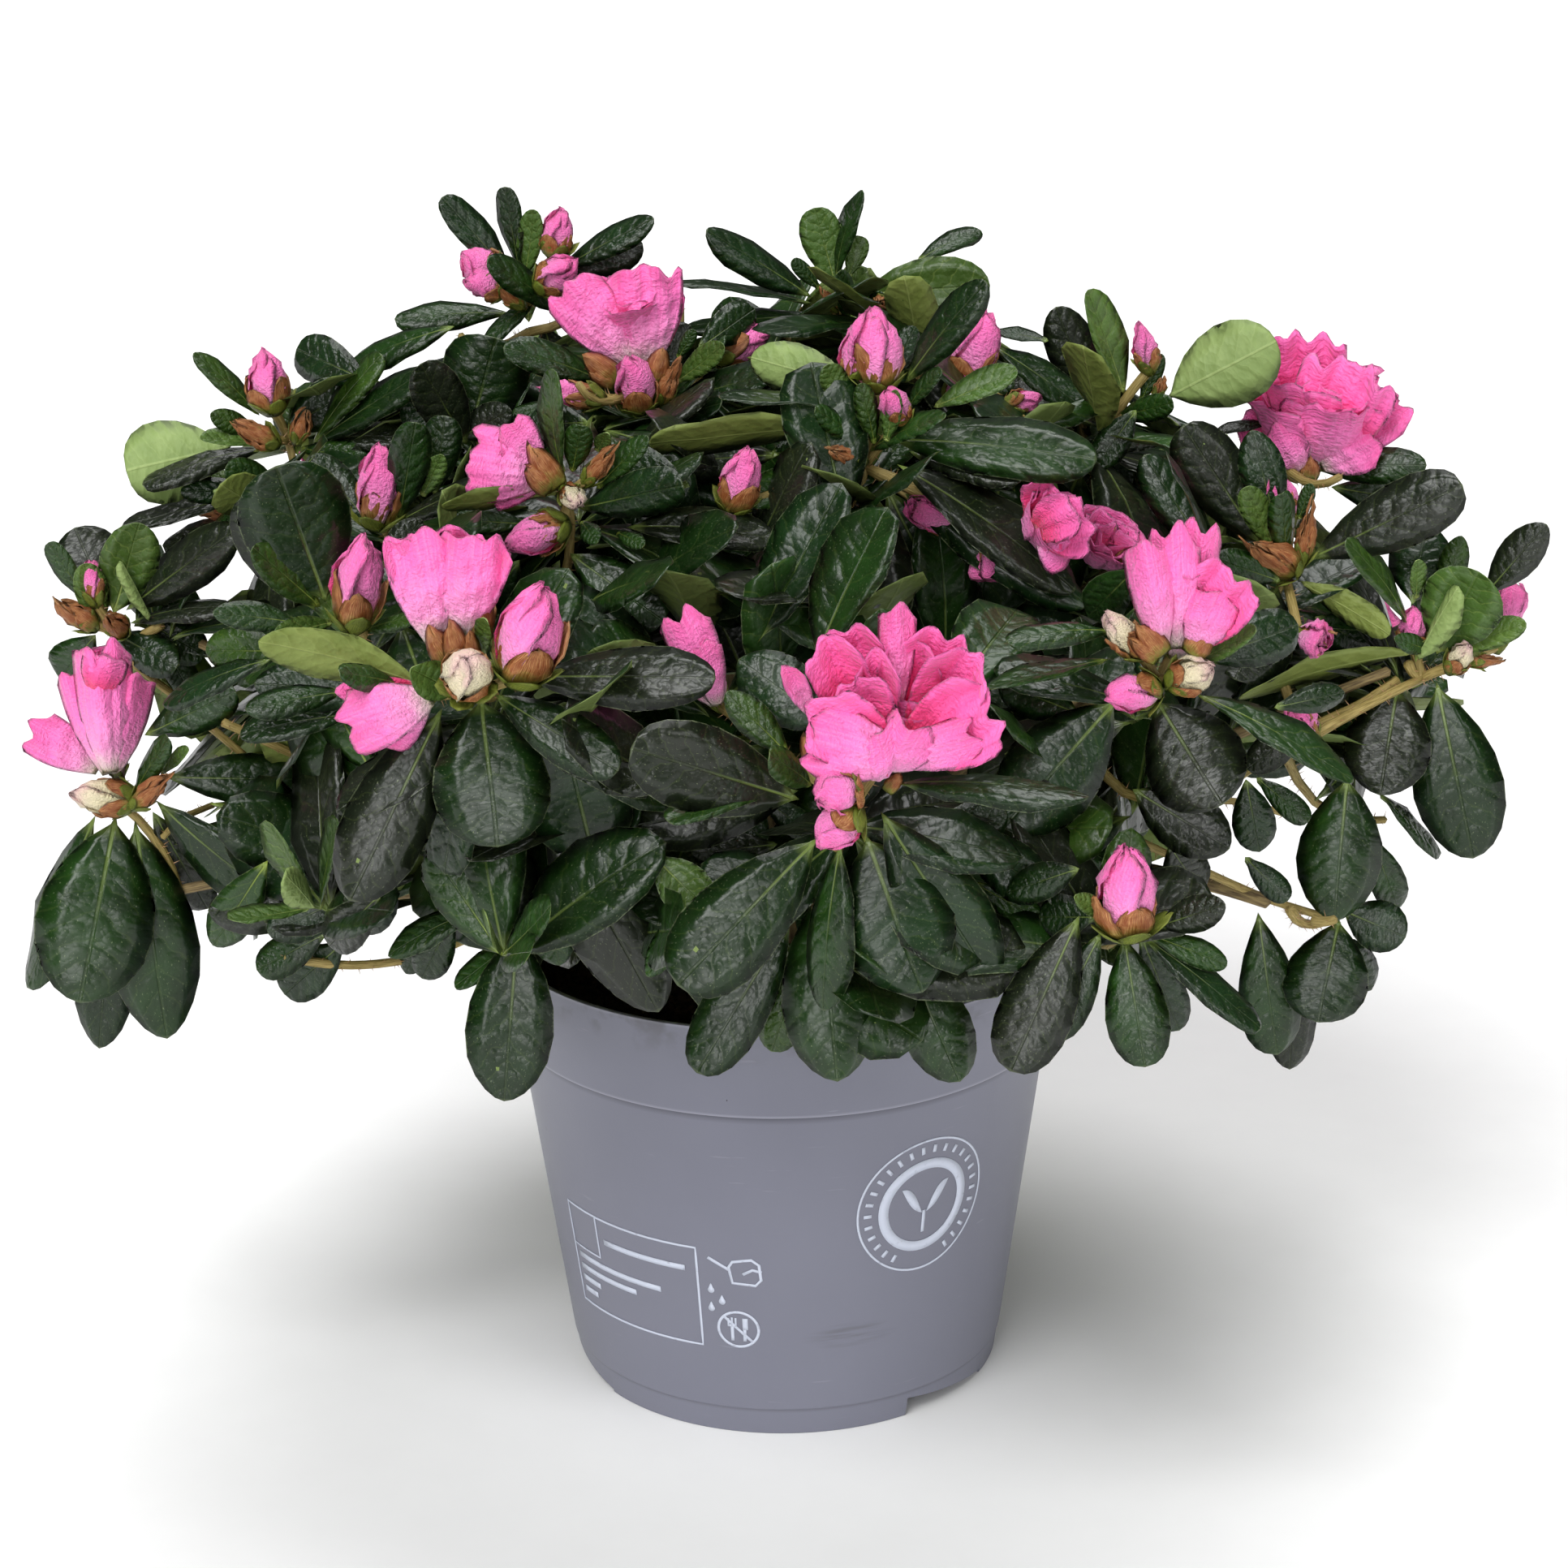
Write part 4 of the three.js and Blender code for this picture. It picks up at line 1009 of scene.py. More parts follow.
def grown_heads(rng):
    """Where the grown sprays' heads stand: spread over the outer side of each mass."""
    heads = []
    for name, count in GROWN_MASSES.items():
        spread = CROWN_PLAN[name][3]
        centre = mass_centre(name)
        out = unit(centre - CROWN_HEART)
        side = unit(np.cross([0, 0, 1.0], out))
        over = np.cross(out, side)
        turn = rng.uniform(0, 2 * math.pi)
        for i in range(count):
            angle = turn + 2 * math.pi * i / count
            away = 0.0 if count == 1 else spread * 0.42
            shift = side * math.cos(angle) * away + over * math.sin(angle) * away * 0.8
            head = centre + shift + out * spread * rng.uniform(-0.12, 0.12)
            axis = unit(unit(head - CROWN_HEART) * 0.8 + shift / spread * 0.7 + [0, 0, 0.4])
            heads.append((head, axis))
    return heads


SHADED_LEAVES, MOST_TRIES = 420, 3360


def fill_crown(foliage, rng):
    """Leaves of the shaded inner twigs, which close the crown between the sprays."""
    names = list(CROWN_PLAN)
    placed = tries = 0
    while placed < SHADED_LEAVES and tries < MOST_TRIES:
        tries += 1
        name = names[int(rng.integers(len(names)))]
        reach = mass_centre(name) - CROWN_HEART
        spread = CROWN_PLAN[name][3]
        depth = rng.uniform(0.55, 0.93)
        base = CROWN_HEART + reach * depth + rng.normal(0, spread * 0.32, 3)
        out = unit(base - CROWN_HEART)
        if base[2] < POT_LIP_HEIGHT + 8 and math.hypot(base[0], base[1]) < POT_LIP_RADIUS + 8:
            continue
        way = unit(out * 0.55 + rng.normal(0, 0.55, 3) + [0, 0, 0.05])
        length = rng.uniform(32, 46)
        tip = base + way * length
        if (tip - CROWN_HEART) @ out > reach @ unit(reach) + spread * 0.5:
            continue
        facing = out + [0, 0, 0.5] + rng.normal(0, 0.25, 3)
        if try_leaf(foliage, rng, "deep" if rng.random() < 0.8 else "green", base, tip, facing,
                    length * rng.uniform(0.44, 0.58)):
            placed += 1


# ---------------------------------------------------------------- stem, boughs and twigs

STEM_FOOT = 104.3
STEM_HEIGHT = 25.0
STEM_LEAN = 0.1

# Each bough: what it springs from, how far along that, the mass that it runs to and its arch.
BOUGHS = {
    "front": ("stem", 0.45, "skirt_front", 26), "left": ("stem", 0.5, "skirt_left", 12),
    "right": ("stem", 0.42, "skirt_right", 28), "back": ("stem", 0.48, "skirt_back_middle", 24),
    "front_left": ("stem", 0.82, "waist_front_left", 6),
    "front_right": ("stem", 0.85, "waist_front_right", 4),
    "back_right": ("stem", 0.8, "waist_back_right", 6),
    "back_left": ("stem", 0.84, "waist_back_far_left", 6),
    "leader": ("stem", 0.9, "crest_middle", -4),
    "low_left_end": ("left", 0.45, "skirt_left_end", 12),
    "left_end": ("left", 0.3, "waist_left_end", 4),
    "right_end": ("right", 0.35, "waist_right_end", 4),
    "low_back_right": ("back", 0.3, "skirt_back_right", 14),
    "low_back_left": ("back", 0.4, "skirt_back_left", 12),
    "low_front_left": ("front", 0.4, "skirt_front_left", 10),
    "right_rear": ("back_right", 0.3, "waist_right_rear", 4),
    "top_front": ("front_right", 0.3, "crest_front", 0),
    "top_back": ("leader", 0.45, "crest_back", 0),
    "top_left": ("back_left", 0.35, "crest_back_left", 0),
    "left_rear": ("front_left", 0.3, "waist_left", 4),
}
BOUGH_RADIUS, SIDE_BOUGH_RADIUS, BOUGH_TIP_SHARE = 2.6, 2.0, 0.6
BOUGH_POINTS, BOUGH_END = 26, 0.92  # points along a bough, and where its bark ends on its line
SHOWN_TWIG_POINTS, SHOWN_TWIG_SIDES, SHOWN_TWIG_ROUNDS = 22, 10, 6
SHORTEST_STALK, STALK_POINTS, STALK_RADII = 1.5, 6, (1.1, 1.3)
TWIG_FOOT_RADIUS, TWIG_TIP_RADIUS = 1.35, 0.95
LIMB_SIDES, TWIG_SIDES = 12, 7
LIMB_MAP_LENGTH = 20.0  # a limb's map repeats each 20 mm

# Twigs that show between the leaves: places in the frame with their depths, and radii.
SHOWN_TWIGS = [
    ([(350, 1180, -60), (430, 1192, -58), (520, 1182, -52), (590, 1150, -44),
      (660, 1110, -32)], 1.05),
    ([(672, 992, -92), (735, 1012, -88), (815, 1046, -78), (880, 1080, -64)], 1.1),
    ([(1400, 1035, -62), (1480, 1072, -60), (1560, 1108, -56), (1640, 1132, -50)], 0.95),
    ([(1722, 838, -20), (1680, 868, -24), (1600, 905, -32), (1520, 960, -40)], 1.3),
    ([(275, 890, -32), (330, 914, -30), (400, 948, -24), (460, 960, -10)], 1.1),
    ([(162, 816, 4), (222, 864, 6), (300, 930, 10)], 1.0),
    ([(200, 1032, -30), (222, 1008, -28), (262, 992, -20)], 0.8),
    ([(1480, 985, -70), (1535, 988, -66), (1600, 1008, -60)], 0.8),
]


def tube(line, radii, sides, rng, relief):
    """A closed rod along a line, its skin a little uneven, with its corners' map places."""
    line = np.asarray(line, float)
    count = len(line)
    tangents = np.gradient(line, axis=0)
    tangents /= np.linalg.norm(tangents, axis=1)[:, None]
    first = across_to([1, 0, 0] if abs(tangents[0][2]) > 0.9 else [0, 0, 1.0], tangents[0])
    angles = np.arange(sides) * 2 * math.pi / sides
    phases = rng.uniform(0, 2 * math.pi, 3)
    run = np.concatenate([[0], np.cumsum(np.linalg.norm(np.diff(line, axis=0), axis=1))])
    points = []
    for i in range(count):
        first = across_to(first, tangents[i])
        second = np.cross(tangents[i], first)
        uneven = 1 + relief * (
            0.5 * np.sin(3 * angles + phases[0] + run[i] * 0.12)
            + 0.35 * np.sin(5 * angles + phases[1] - run[i] * 0.2)
            + 0.35 * rng.uniform(-1, 1, sides))
        rim = np.outer(np.cos(angles), first) + np.outer(np.sin(angles), second)
        points.append(line[i] + rim * (radii[i] * uneven)[:, None])
    points.append(line[:1] - tangents[:1] * radii[0] * 0.4)
    points.append(line[-1:] + tangents[-1:] * radii[-1] * 0.6)
    faces, corners = [], []
    for k in range(sides):
        n = (k + 1) % sides
        u0, u1 = k / sides, (k + 1) / sides
        for i in range(count - 1):
            a, b = i * sides, (i + 1) * sides
            faces.append((a + k, a + n, b + n, b + k))
            v0, v1 = run[i] / LIMB_MAP_LENGTH, run[i + 1] / LIMB_MAP_LENGTH
            corners += [(u0, v0), (u1, v0), (u1, v1), (u0, v1)]
        last = (count - 1) * sides
        end = run[-1] / LIMB_MAP_LENGTH
        faces += [(count * sides, n, k), (last + k, last + n, count * sides + 1)]
        middle = (u0 + u1) / 2
        corners += [(middle, -0.1), (u1, 0), (u0, 0), (u0, end), (u1, end), (middle, end + 0.1)]
    return np.concatenate(points), faces, [0] * len(faces), {"Limb": np.array(corners)}


def stem_point(share):
    """The point at a share of the leaning stem."""
    height = STEM_HEIGHT * share
    return np.array([STEM_LEAN * height, 0, STEM_FOOT + height])


def bough_lines():
    """Each bough's line, from its parent to the heart of its mass, and its foot radius."""
    lines = {}
    for name, (parent, share, mass, arch) in BOUGHS.items():
        start = along_line(lines[parent][0], share) if parent in lines else stem_point(share)
        end = mass_centre(mass)
        middle = (start + end) / 2 + [0, 0, arch]
        radius = SIDE_BOUGH_RADIUS if parent in lines else BOUGH_RADIUS
        lines[name] = (bend(start, middle, end, BOUGH_POINTS), radius)
    return lines


def grow_limbs(bark, lines, rng):
    """The flared stem and the tapering boughs, as two pieces."""
    stem = Cluster("stem_bark", [bark], ("Limb",))
    shares = np.linspace(0.0, 1.0, 22)
    flare = 3.3 * np.clip(1 - shares * STEM_HEIGHT / 7, 0, 1) ** 2
    radii = 6.2 - shares + flare - 2.0 * np.clip(shares * 12.5 - 11.5, 0, 1) ** 2
    stem.add(*tube([stem_point(s) for s in shares], radii, 28, rng, 0.07))
    boughs = Cluster("bough_bark", [bark], ("Limb",))
    for line, radius in lines.values():
        line = np.array([along_line(line, s) for s in np.linspace(0, BOUGH_END, len(line))])
        swell = 1 + 0.35 * np.exp(-np.linspace(0, 1, len(line)) * 18)
        radii = radius * np.linspace(1, BOUGH_TIP_SHARE, len(line)) * swell
        boughs.add(*tube(line, radii, LIMB_SIDES, rng, 0.09))
    return stem.make(), boughs.make()


def grow_twig(cluster, rng, lines, head, axis):
    """A twig from the nearest bough to a spray's head, curving up to the spray's own axis."""
    best, start = None, None
    for line, _ in lines.values():
        for point in line[5:]:
            cost = np.linalg.norm(head - point) + 0.3 * np.linalg.norm(point - CROWN_HEART)
            if best is None or cost < best:
                best, start = cost, point
    reach = np.linalg.norm(head - start)
    if reach < 4:
        return
    middle = head - axis * reach * 0.45 + rng.normal(0, reach * 0.04, 3)
    line = bend(start, middle, head + axis * 1.5, max(6, int(reach / 7)))
    radii = np.linspace(TWIG_FOOT_RADIUS, TWIG_TIP_RADIUS, len(line))
    cluster.add(*tube(line, radii, TWIG_SIDES, rng, 0.1))


# ---------------------------------------------------------------- petals, scales and calyces


FRILL = 7.0  # from crest to crest of the frills along a petal's margin
CRUMPLE = 0.45  # how far the fine crumples of a petal stand out


def petal_form(rng, s, q, half_width, ragged, pointed):
    """How far up its length each point of a petal's grid reaches, with a rounded, ragged end, and
    its relief: long folds, frills towards the margin, and crumples. Folds and frills are 1 high."""
    phase = rng.uniform(0, 2 * math.pi, 10)
    waves = 2 * math.pi * half_width / FRILL
    notches = 0.5 + 0.3 * np.sin(5 * q + phase[0]) + 0.2 * np.sin(1.4 * waves * q + phase[1])
    run = s * (1 - (0 if pointed else 0.14) * np.abs(q) ** 2.6 - ragged * s**4 * notches)
    folds = s**1.3 * (np.sin(3.1 * q + phase[2]) + 0.5 * np.sin(6.5 * q + phase[3] + 1.5 * s))
    frills = (s**3 * np.sin(waves * q + phase[4] + 2 * s)
              + 0.4 * s**6 * np.sin(1.7 * waves * q + phase[5]))
    crumples = CRUMPLE * np.sin(math.pi * s) * (
        np.sin(13 * s + 0.8 * waves * q + phase[6]) * np.sin(9 * s - 1.3 * waves * q + phase[7])
        + 0.6 * np.sin(27 * s + phase[8]) * np.sin(2.2 * waves * q + phase[9]))
    return run, folds, frills, crumples


def petal_skins(outer, thickness):
    """A petal's two skins, joined at its edge: its outer side is a grid that is given."""
    rows, columns = outer.shape[0] - 1, outer.shape[1] - 1
    normal = np.cross(np.gradient(outer, axis=1), np.gradient(outer, axis=0))
    normal /= np.maximum(np.linalg.norm(normal, axis=2), 1e-9)[..., None]
    inner = (outer - normal * thickness)[1:-1, 1:-1]
    ids = np.arange((rows + 1) * (columns + 1)).reshape(rows + 1, columns + 1)
    inner_ids = ids.copy()
    inner_ids[1:-1, 1:-1] = ids.size + np.arange(inner[..., 0].size).reshape(inner.shape[:2])
    faces, corners = [], []
    for i in range(rows):
        for j in range(columns):
            v0, v1 = i / rows, (i + 1) / rows
            u0, u1 = 0.46 * j / columns, 0.46 * (j + 1) / columns
            faces.append((ids[i, j], ids[i, j + 1], ids[i + 1, j + 1], ids[i + 1, j]))
            corners += [(u0, v0), (u1, v0), (u1, v1), (u0, v1)]
            faces.append((inner_ids[i, j], inner_ids[i + 1, j], inner_ids[i + 1, j + 1],
                          inner_ids[i, j + 1]))
            corners += [(u0 + 0.5, v0), (u0 + 0.5, v1), (u1 + 0.5, v1), (u1 + 0.5, v0)]
    points = np.concatenate([outer.reshape(-1, 3), inner.reshape(-1, 3)])
    bake = np.array(corners) * [1, 0.96] + 0.02
    return points, faces, [0, 1] * (rows * columns), {"OFBake": bake}


def petal_breadth(s, pointed):
    """A petal's or scale's half width over its greatest, along its length."""
    if pointed:
        return np.sin(math.pi * np.clip(0.22 + 0.78 * s, 0, 1)) ** 0.75
    return 0.26 + 0.74 * np.sin(math.pi / 2 * np.clip(s * 1.2, 0, 1))


def petal_shell(rng, base, axis, first, turn, radii, heights, half_width, fold=0.0, ruffle=0.0,
                ragged=0.05, wrap=0.0, pointed=False, rows=7, columns=6, thickness=0.25):
    """A petal or scale wrapped round an axis. Its distance from the axis and its height along it
    follow the knots."""
    second = np.cross(axis, first)
    s, q = np.meshgrid(np.linspace(0, 1, rows + 1), np.linspace(-1, 1, columns + 1), indexing="ij")
    run, folds, frills, crumples = petal_form(rng, s, q, half_width, ragged, pointed)
    radius = bernstein(radii, run) + wrap * q + fold * folds + ruffle * frills + crumples
    height = bernstein(heights, run) + 0.4 * ruffle * frills[:, ::-1]
    swing = q * half_width * petal_breadth(s, pointed) / np.maximum(np.abs(radius), 1.2)
    angle = turn + np.clip(swing, -1.6, 1.6)
    return petal_skins(base + np.einsum("ij,k->ijk", radius * np.cos(angle), first)
                       + np.einsum("ij,k->ijk", radius * np.sin(angle), second)
                       + np.einsum("ij,k->ijk", height, axis), thickness)


def lay_petal(cluster, rng, row, pointed=False):
    """A listed petal or scale, laid from where its foot shows to where its tip shows."""
    right0, down0, right1, down1, width, y, forward, bulge, cup, side = row
    foot, tip = seen(right0, down0, y), seen(right1, down1, y - forward)
    half, length, axis = width * frame_unit(foot) / 2, np.linalg.norm(tip - foot), unit(tip - foot)
    towards = across_to(EYE - foot, axis) * side
    across = np.cross(axis, towards)
    rows, columns = int(np.clip(length / 1.2, 7, 18)), int(np.clip(half * 2.2, 6, 26))
    s, q = np.meshgrid(np.linspace(0, 1, rows + 1), np.linspace(-1, 1, columns + 1), indexing="ij")
    run, folds, frills, crumples = petal_form(rng, s, q, half, 0.3 if pointed else 0.1, pointed)
    soft = 0.3 if pointed else 1.0
    out = side * (bulge * np.sin(math.pi * run**0.8) + cup * q**2 * s**0.5) + soft * (
        0.16 * half * folds + (0.5 + 0.08 * half) * frills) + (1.0 + 0.08 * half) * crumples
    wave = soft * 0.08 * half * frills[:, ::-1]
    cluster.add(*petal_skins(
        foot + np.einsum("ij,k->ijk", length * run + wave, axis)
        + np.einsum("ij,k->ijk", q * half * petal_breadth(s, pointed), across)
        + np.einsum("ij,k->ijk", out, towards), 0.25))


def whorl(cluster, rng, base, axis, count, radii, heights, half_width, scatter=0.08, **more):
    """Petals or scales set round an axis, each a little different."""
    first = across_to([0.2, -0.3, 1.0] if abs(axis[2]) < 0.9 else [1.0, 0, 0], axis)
    turn = rng.uniform(0, 2 * math.pi)
    radii, heights = np.array(radii, float), np.array(heights, float)
    for i in range(count):
        angle = turn + 2 * math.pi * i / count + rng.uniform(-0.12, 0.12)
        cluster.add(*petal_shell(
            rng, base, axis, first, angle, radii * rng.uniform(1 - scatter, 1 + scatter),
            heights * rng.uniform(1 - 1.2 * scatter, 1 + 0.7 * scatter),
            half_width * rng.uniform(0.92, 1.1), **more))


# A bloom's rings of petals by its kind, from the outermost: how many petals, their distance from
# the axis at five knots and half width over the bloom's half width, their height at the same
# knots over its depth, and how strongly they fold, ruffle and tear, over its half width.
BLOOM_RINGS = {
    "open": [
        (5, (0.12, 0.75, 0.95, 0.95, 1.15), 0.92, (0, 0.10, 0.5, 0.85, 0.95), 0.10, 0.07, 0.06),
        (5, (0.10, 0.50, 0.66, 0.70, 0.95), 0.80, (0, 0.12, 0.5, 0.9, 1.08), 0.15, 0.08, 0.08),
        (3, (0.08, 0.30, 0.40, 0.42, 0.55), 0.55, (0, 0.1, 0.5, 0.8, 0.98), 0.16, 0.09, 0.08)],
    "flared": [
        (4, (0.26, 0.62, 0.55, 0.66, 1.10), 0.92, (0, 0.28, 0.6, 0.85, 1.0), 0.10, 0.05, 0.06),
        (4, (0.20, 0.48, 0.45, 0.55, 0.85), 0.75, (0, 0.28, 0.6, 0.88, 1.0), 0.14, 0.07, 0.08),
        (3, (0.10, 0.28, 0.28, 0.30, 0.45), 0.45, (0, 0.28, 0.6, 0.85, 0.96), 0.14, 0.08, 0.08)],
    "barrel": [
        (4, (0.36, 0.98, 0.88, 0.82, 1.0), 0.90, (0, 0.22, 0.55, 0.85, 1.0), 0.12, 0.06, 0.12),
        (4, (0.30, 0.75, 0.70, 0.66, 0.8), 0.75, (0, 0.24, 0.58, 0.9, 1.02), 0.16, 0.08, 0.14),
        (3, (0.15, 0.40, 0.40, 0.40, 0.4), 0.50, (0, 0.25, 0.6, 0.85, 0.98), 0.15, 0.08, 0.12)],
    "folded": [
        (4, (0.32, 0.55, 0.95, 1.35, 0.45), 0.85, (0, 0.25, 0.6, 0.92, 1.0), 0.17, 0.06, 0.06),
        (4, (0.25, 0.45, 0.78, 1.10, 0.35), 0.70, (0, 0.25, 0.6, 0.94, 1.03), 0.2, 0.08, 0.08),
        (3, (0.15, 0.30, 0.45, 0.60, 0.3), 0.45, (0, 0.25, 0.6, 0.9, 1.0), 0.18, 0.09, 0.08)],
}

# Blooms: kind, where the foot shows, where the mouth's middle shows, the width that shows, the
# foot's depth y and how far forward of it the mouth is. The larger ones are the hearts of blooms
# whose front petals are laid one by one.
BLOOMS = [
    ("open", 1092, 934, 1114, 856, 92, -116, 2), ("flared", 552, 795, 552, 676, 88, -94, 1),
    ("folded", 530, 858, 436, 888, 54, -106, 5), ("folded", 146, 954, 124, 806, 58, -27, 3),
    ("flared", 788, 455, 766, 352, 106, 27, 2), ("flared", 678, 588, 598, 562, 60, -43, 3),
    ("open", 1618, 572, 1634, 468, 160, 52, 3), ("barrel", 1446, 806, 1456, 676, 88, -91, 3),
    ("barrel", 886, 868, 850, 778, 44, -82, 3), ("open", 1272, 658, 1306, 640, 78, -35, 6),
    ("folded", 1187, 658, 1122, 618, 44, -30, 2), ("open", 1350, 690, 1372, 655, 84, -14, 5),
    ("folded", 1216, 655, 1216, 715, 44, -34, 3), ("folded", 1846, 796, 1866, 722, 46, -6, -2),
    ("folded", 1600, 780, 1632, 792, 52, -34, 4), ("folded", 1620, 905, 1596, 872, 36, -36, 2),
]

# Petals laid one by one: where the foot and the tip show, the width that shows, the foot's depth
# y, how far forward the tip is, how far the middle bulges and the edges curl towards the front,
# and which side faces the front: 1 the outer one, -1 the inner one.
LAID_PETALS = [
    (1118, 910, 1168, 772, 96, -117, 0, -3, 6, -1), (1082, 905, 1034, 768, 84, -117, 0, -3, 6, -1),
    (1104, 880, 1106, 738, 48, -118, 0, 2, -3, 1), (1118, 915, 1122, 786, 80, -119, 0, -6, 7, -1),
    (1120, 920, 1204, 800, 86, -122, 2, -2, 7, -1), (1112, 930, 1232, 866, 112, -125, 5, 1, 5, -1),
    (1098, 938, 1210, 906, 62, -129, 5, 3, -4, 1), (1084, 915, 1080, 796, 56, -122, 2, -2, 7, -1),
    (1076, 915, 1008, 780, 72, -122, 3, -2, 7, -1), (1088, 928, 1042, 834, 84, -125, 4, -2, 6, -1),
    (1098, 932, 990, 872, 92, -127, 7, 3, 4, -1), (1104, 938, 992, 906, 92, -130, 7, 7, -6, 1),
    (1000, 880, 966, 816, 30, -127, 3, 0, 4, 1), (1082, 956, 1072, 896, 84, -131, 5, 6, -7, 1),
    (1092, 948, 1132, 892, 76, -130, 5, 4, -5, 1),
    (1600, 560, 1596, 404, 124, 51, 0, -3, 4, -1), (1625, 568, 1672, 444, 124, 45, 5, 3, -3, -1),
    (1632, 570, 1738, 494, 56, 47, 3, 0, 4, 1), (1625, 572, 1694, 530, 80, 43, 5, 3, -2, 1),
    (1592, 562, 1528, 512, 64, 49, 2, 2, 3, -1), (1602, 582, 1574, 520, 54, 42, 4, 4, -4, 1),
    (1612, 575, 1628, 470, 84, 44, 4, 3, -3, 1), (796, 452, 788, 322, 104, 21, 0, 3, -4, 1),
    (778, 450, 694, 344, 78, 20, 2, 3, -5, 1), (786, 450, 748, 334, 70, 25, 0, -3, 4, -1),
    (802, 450, 818, 338, 60, 25, 0, -3, 4, -1), (536, 792, 512, 648, 90, -104, 2, 3, -4, 1),
    (572, 784, 588, 652, 90, -105, 3, 3, -4, 1), (552, 790, 548, 642, 112, -99, 0, -3, 5, -1),
    (530, 768, 482, 660, 46, -104, 2, -1, 3, 1), (582, 768, 618, 662, 46, -105, 2, -1, 3, 1),
    (532, 858, 418, 898, 84, -110, 5, 4, -4, 1), (522, 848, 412, 862, 50, -107, 2, -2, 3, -1),
    (528, 868, 474, 922, 44, -108, 3, 2, -3, 1), (1450, 800, 1446, 642, 64, -97, 2, 4, -4, 1),
    (1432, 802, 1410, 660, 62, -99, 3, 5, -6, 1), (1454, 798, 1480, 636, 60, -94, 1, 3, -3, 1),
    (1462, 796, 1524, 696, 98, -96, 4, 2, 4, -1), (1470, 800, 1504, 728, 66, -99, 4, 4, -4, 1),
    (136, 952, 124, 786, 72, -32, 4, 8, -9, 1), (134, 954, 94, 816, 60, -30, 3, 6, -7, 1),
    (138, 954, 162, 822, 66, -29, 3, 6, -7, 1), (120, 856, 132, 806, 58, -37, 0, 4, -5, -1),
    (122, 948, 34, 894, 60, -30, 2, 2, -4, 1), (672, 586, 572, 566, 96, -47, 3, 3, -4, 1),
    (668, 576, 624, 518, 52, -46, 2, 2, -2, 1), (676, 592, 596, 614, 40, -46, 2, 2, -2, 1),
    (886, 868, 836, 750, 64, -86, 2, 4, -6, 1), (884, 870, 864, 788, 46, -87, 3, 3, -4, 1),
    (880, 868, 818, 800, 40, -84, 2, 2, -3, 1), (1275, 652, 1308, 598, 82, -38, 2, -2, 4, -1),
    (1278, 656, 1350, 648, 76, -40, 4, 2, 3, -1), (1280, 660, 1322, 690, 60, -41, 4, 3, -3, 1),
    (1276, 654, 1330, 622, 60, -42, 5, 3, 3, -1),
]

# Papery scales laid in the same way.
LAID_SCALES = [
    (556, 822, 528, 770, 36, -107, 2, 2, -3, 1), (568, 824, 552, 758, 34, -108, 2, 3, -3, 1),
    (580, 820, 578, 776, 28, -108, 2, 2, -3, 1), (592, 796, 598, 722, 30, -105, 1, 2, -3, 1),
    (584, 800, 612, 742, 22, -104, 1, 2, -2, 1),
    (766, 472, 712, 432, 34, 16, 2, 3, -4, 1), (760, 474, 722, 456, 24, 15, 2, 2, -3, 1),
    (804, 474, 818, 424, 32, 16, 2, 3, -4, 1),
    (1434, 808, 1400, 768, 34, -102, 2, 3, -3, 1), (1428, 812, 1392, 788, 26, -103, 2, 2, -3, 1),
    (1466, 808, 1492, 776, 36, -101, 2, 2, -3, 1),
    (688, 602, 652, 546, 36, -51, 2, 3, -4, 1), (680, 604, 644, 570, 34, -52, 2, 3, -3, 1),
    (1012, 950, 990, 900, 32, -124, 1, 2, -3, 1),
    (1092, 976, 1112, 950, 20, -131, 1, 1, -2, 1), (1612, 592, 1614, 562, 28, 40, 1, 1, -2, 1),
]


def make_bloom(parts, rng, kind, base, mouth, width):
    """A double bloom: rings of frilled petals, papery scales at the foot, and a green calyx."""
    axis = unit(mouth - base)
    depth = np.linalg.norm(mouth - base)
    wide = width / 2
    for count, radii, half, heights, fold, ruffle, ragged in BLOOM_RINGS[kind]:
        whorl(parts["petals"], rng, base, axis, count, np.array(radii) * wide,
              np.array(heights) * max(depth, wide * 0.8), wide * half, fold=wide * fold,
              ruffle=wide * ruffle, ragged=ragged, wrap=0.5, scatter=0.1,
              rows=8 + 4 * (wide > 18), columns=int(np.clip(wide * half * 1.25, 6, 24)))
    foot = max(1.8, min(3.6, wide * 0.3))
    whorl(parts["scales"], rng, base - axis, axis, 4, np.array([0.6, 1.25, 1.6, 1.7]) * foot,
          np.array([0, 0.3, 0.7, 1]) * 9.5, foot * 1.2, fold=0.4, pointed=True, scatter=0.14)
    whorl(parts["calyx"], rng, base - axis * 2.0, axis, 5, np.array([0.5, 1.1, 1.3, 1.8]) * foot,
          np.array([0, 0.35, 0.7, 1]) * 5.5, foot * 0.75, pointed=True, rows=4, columns=4)


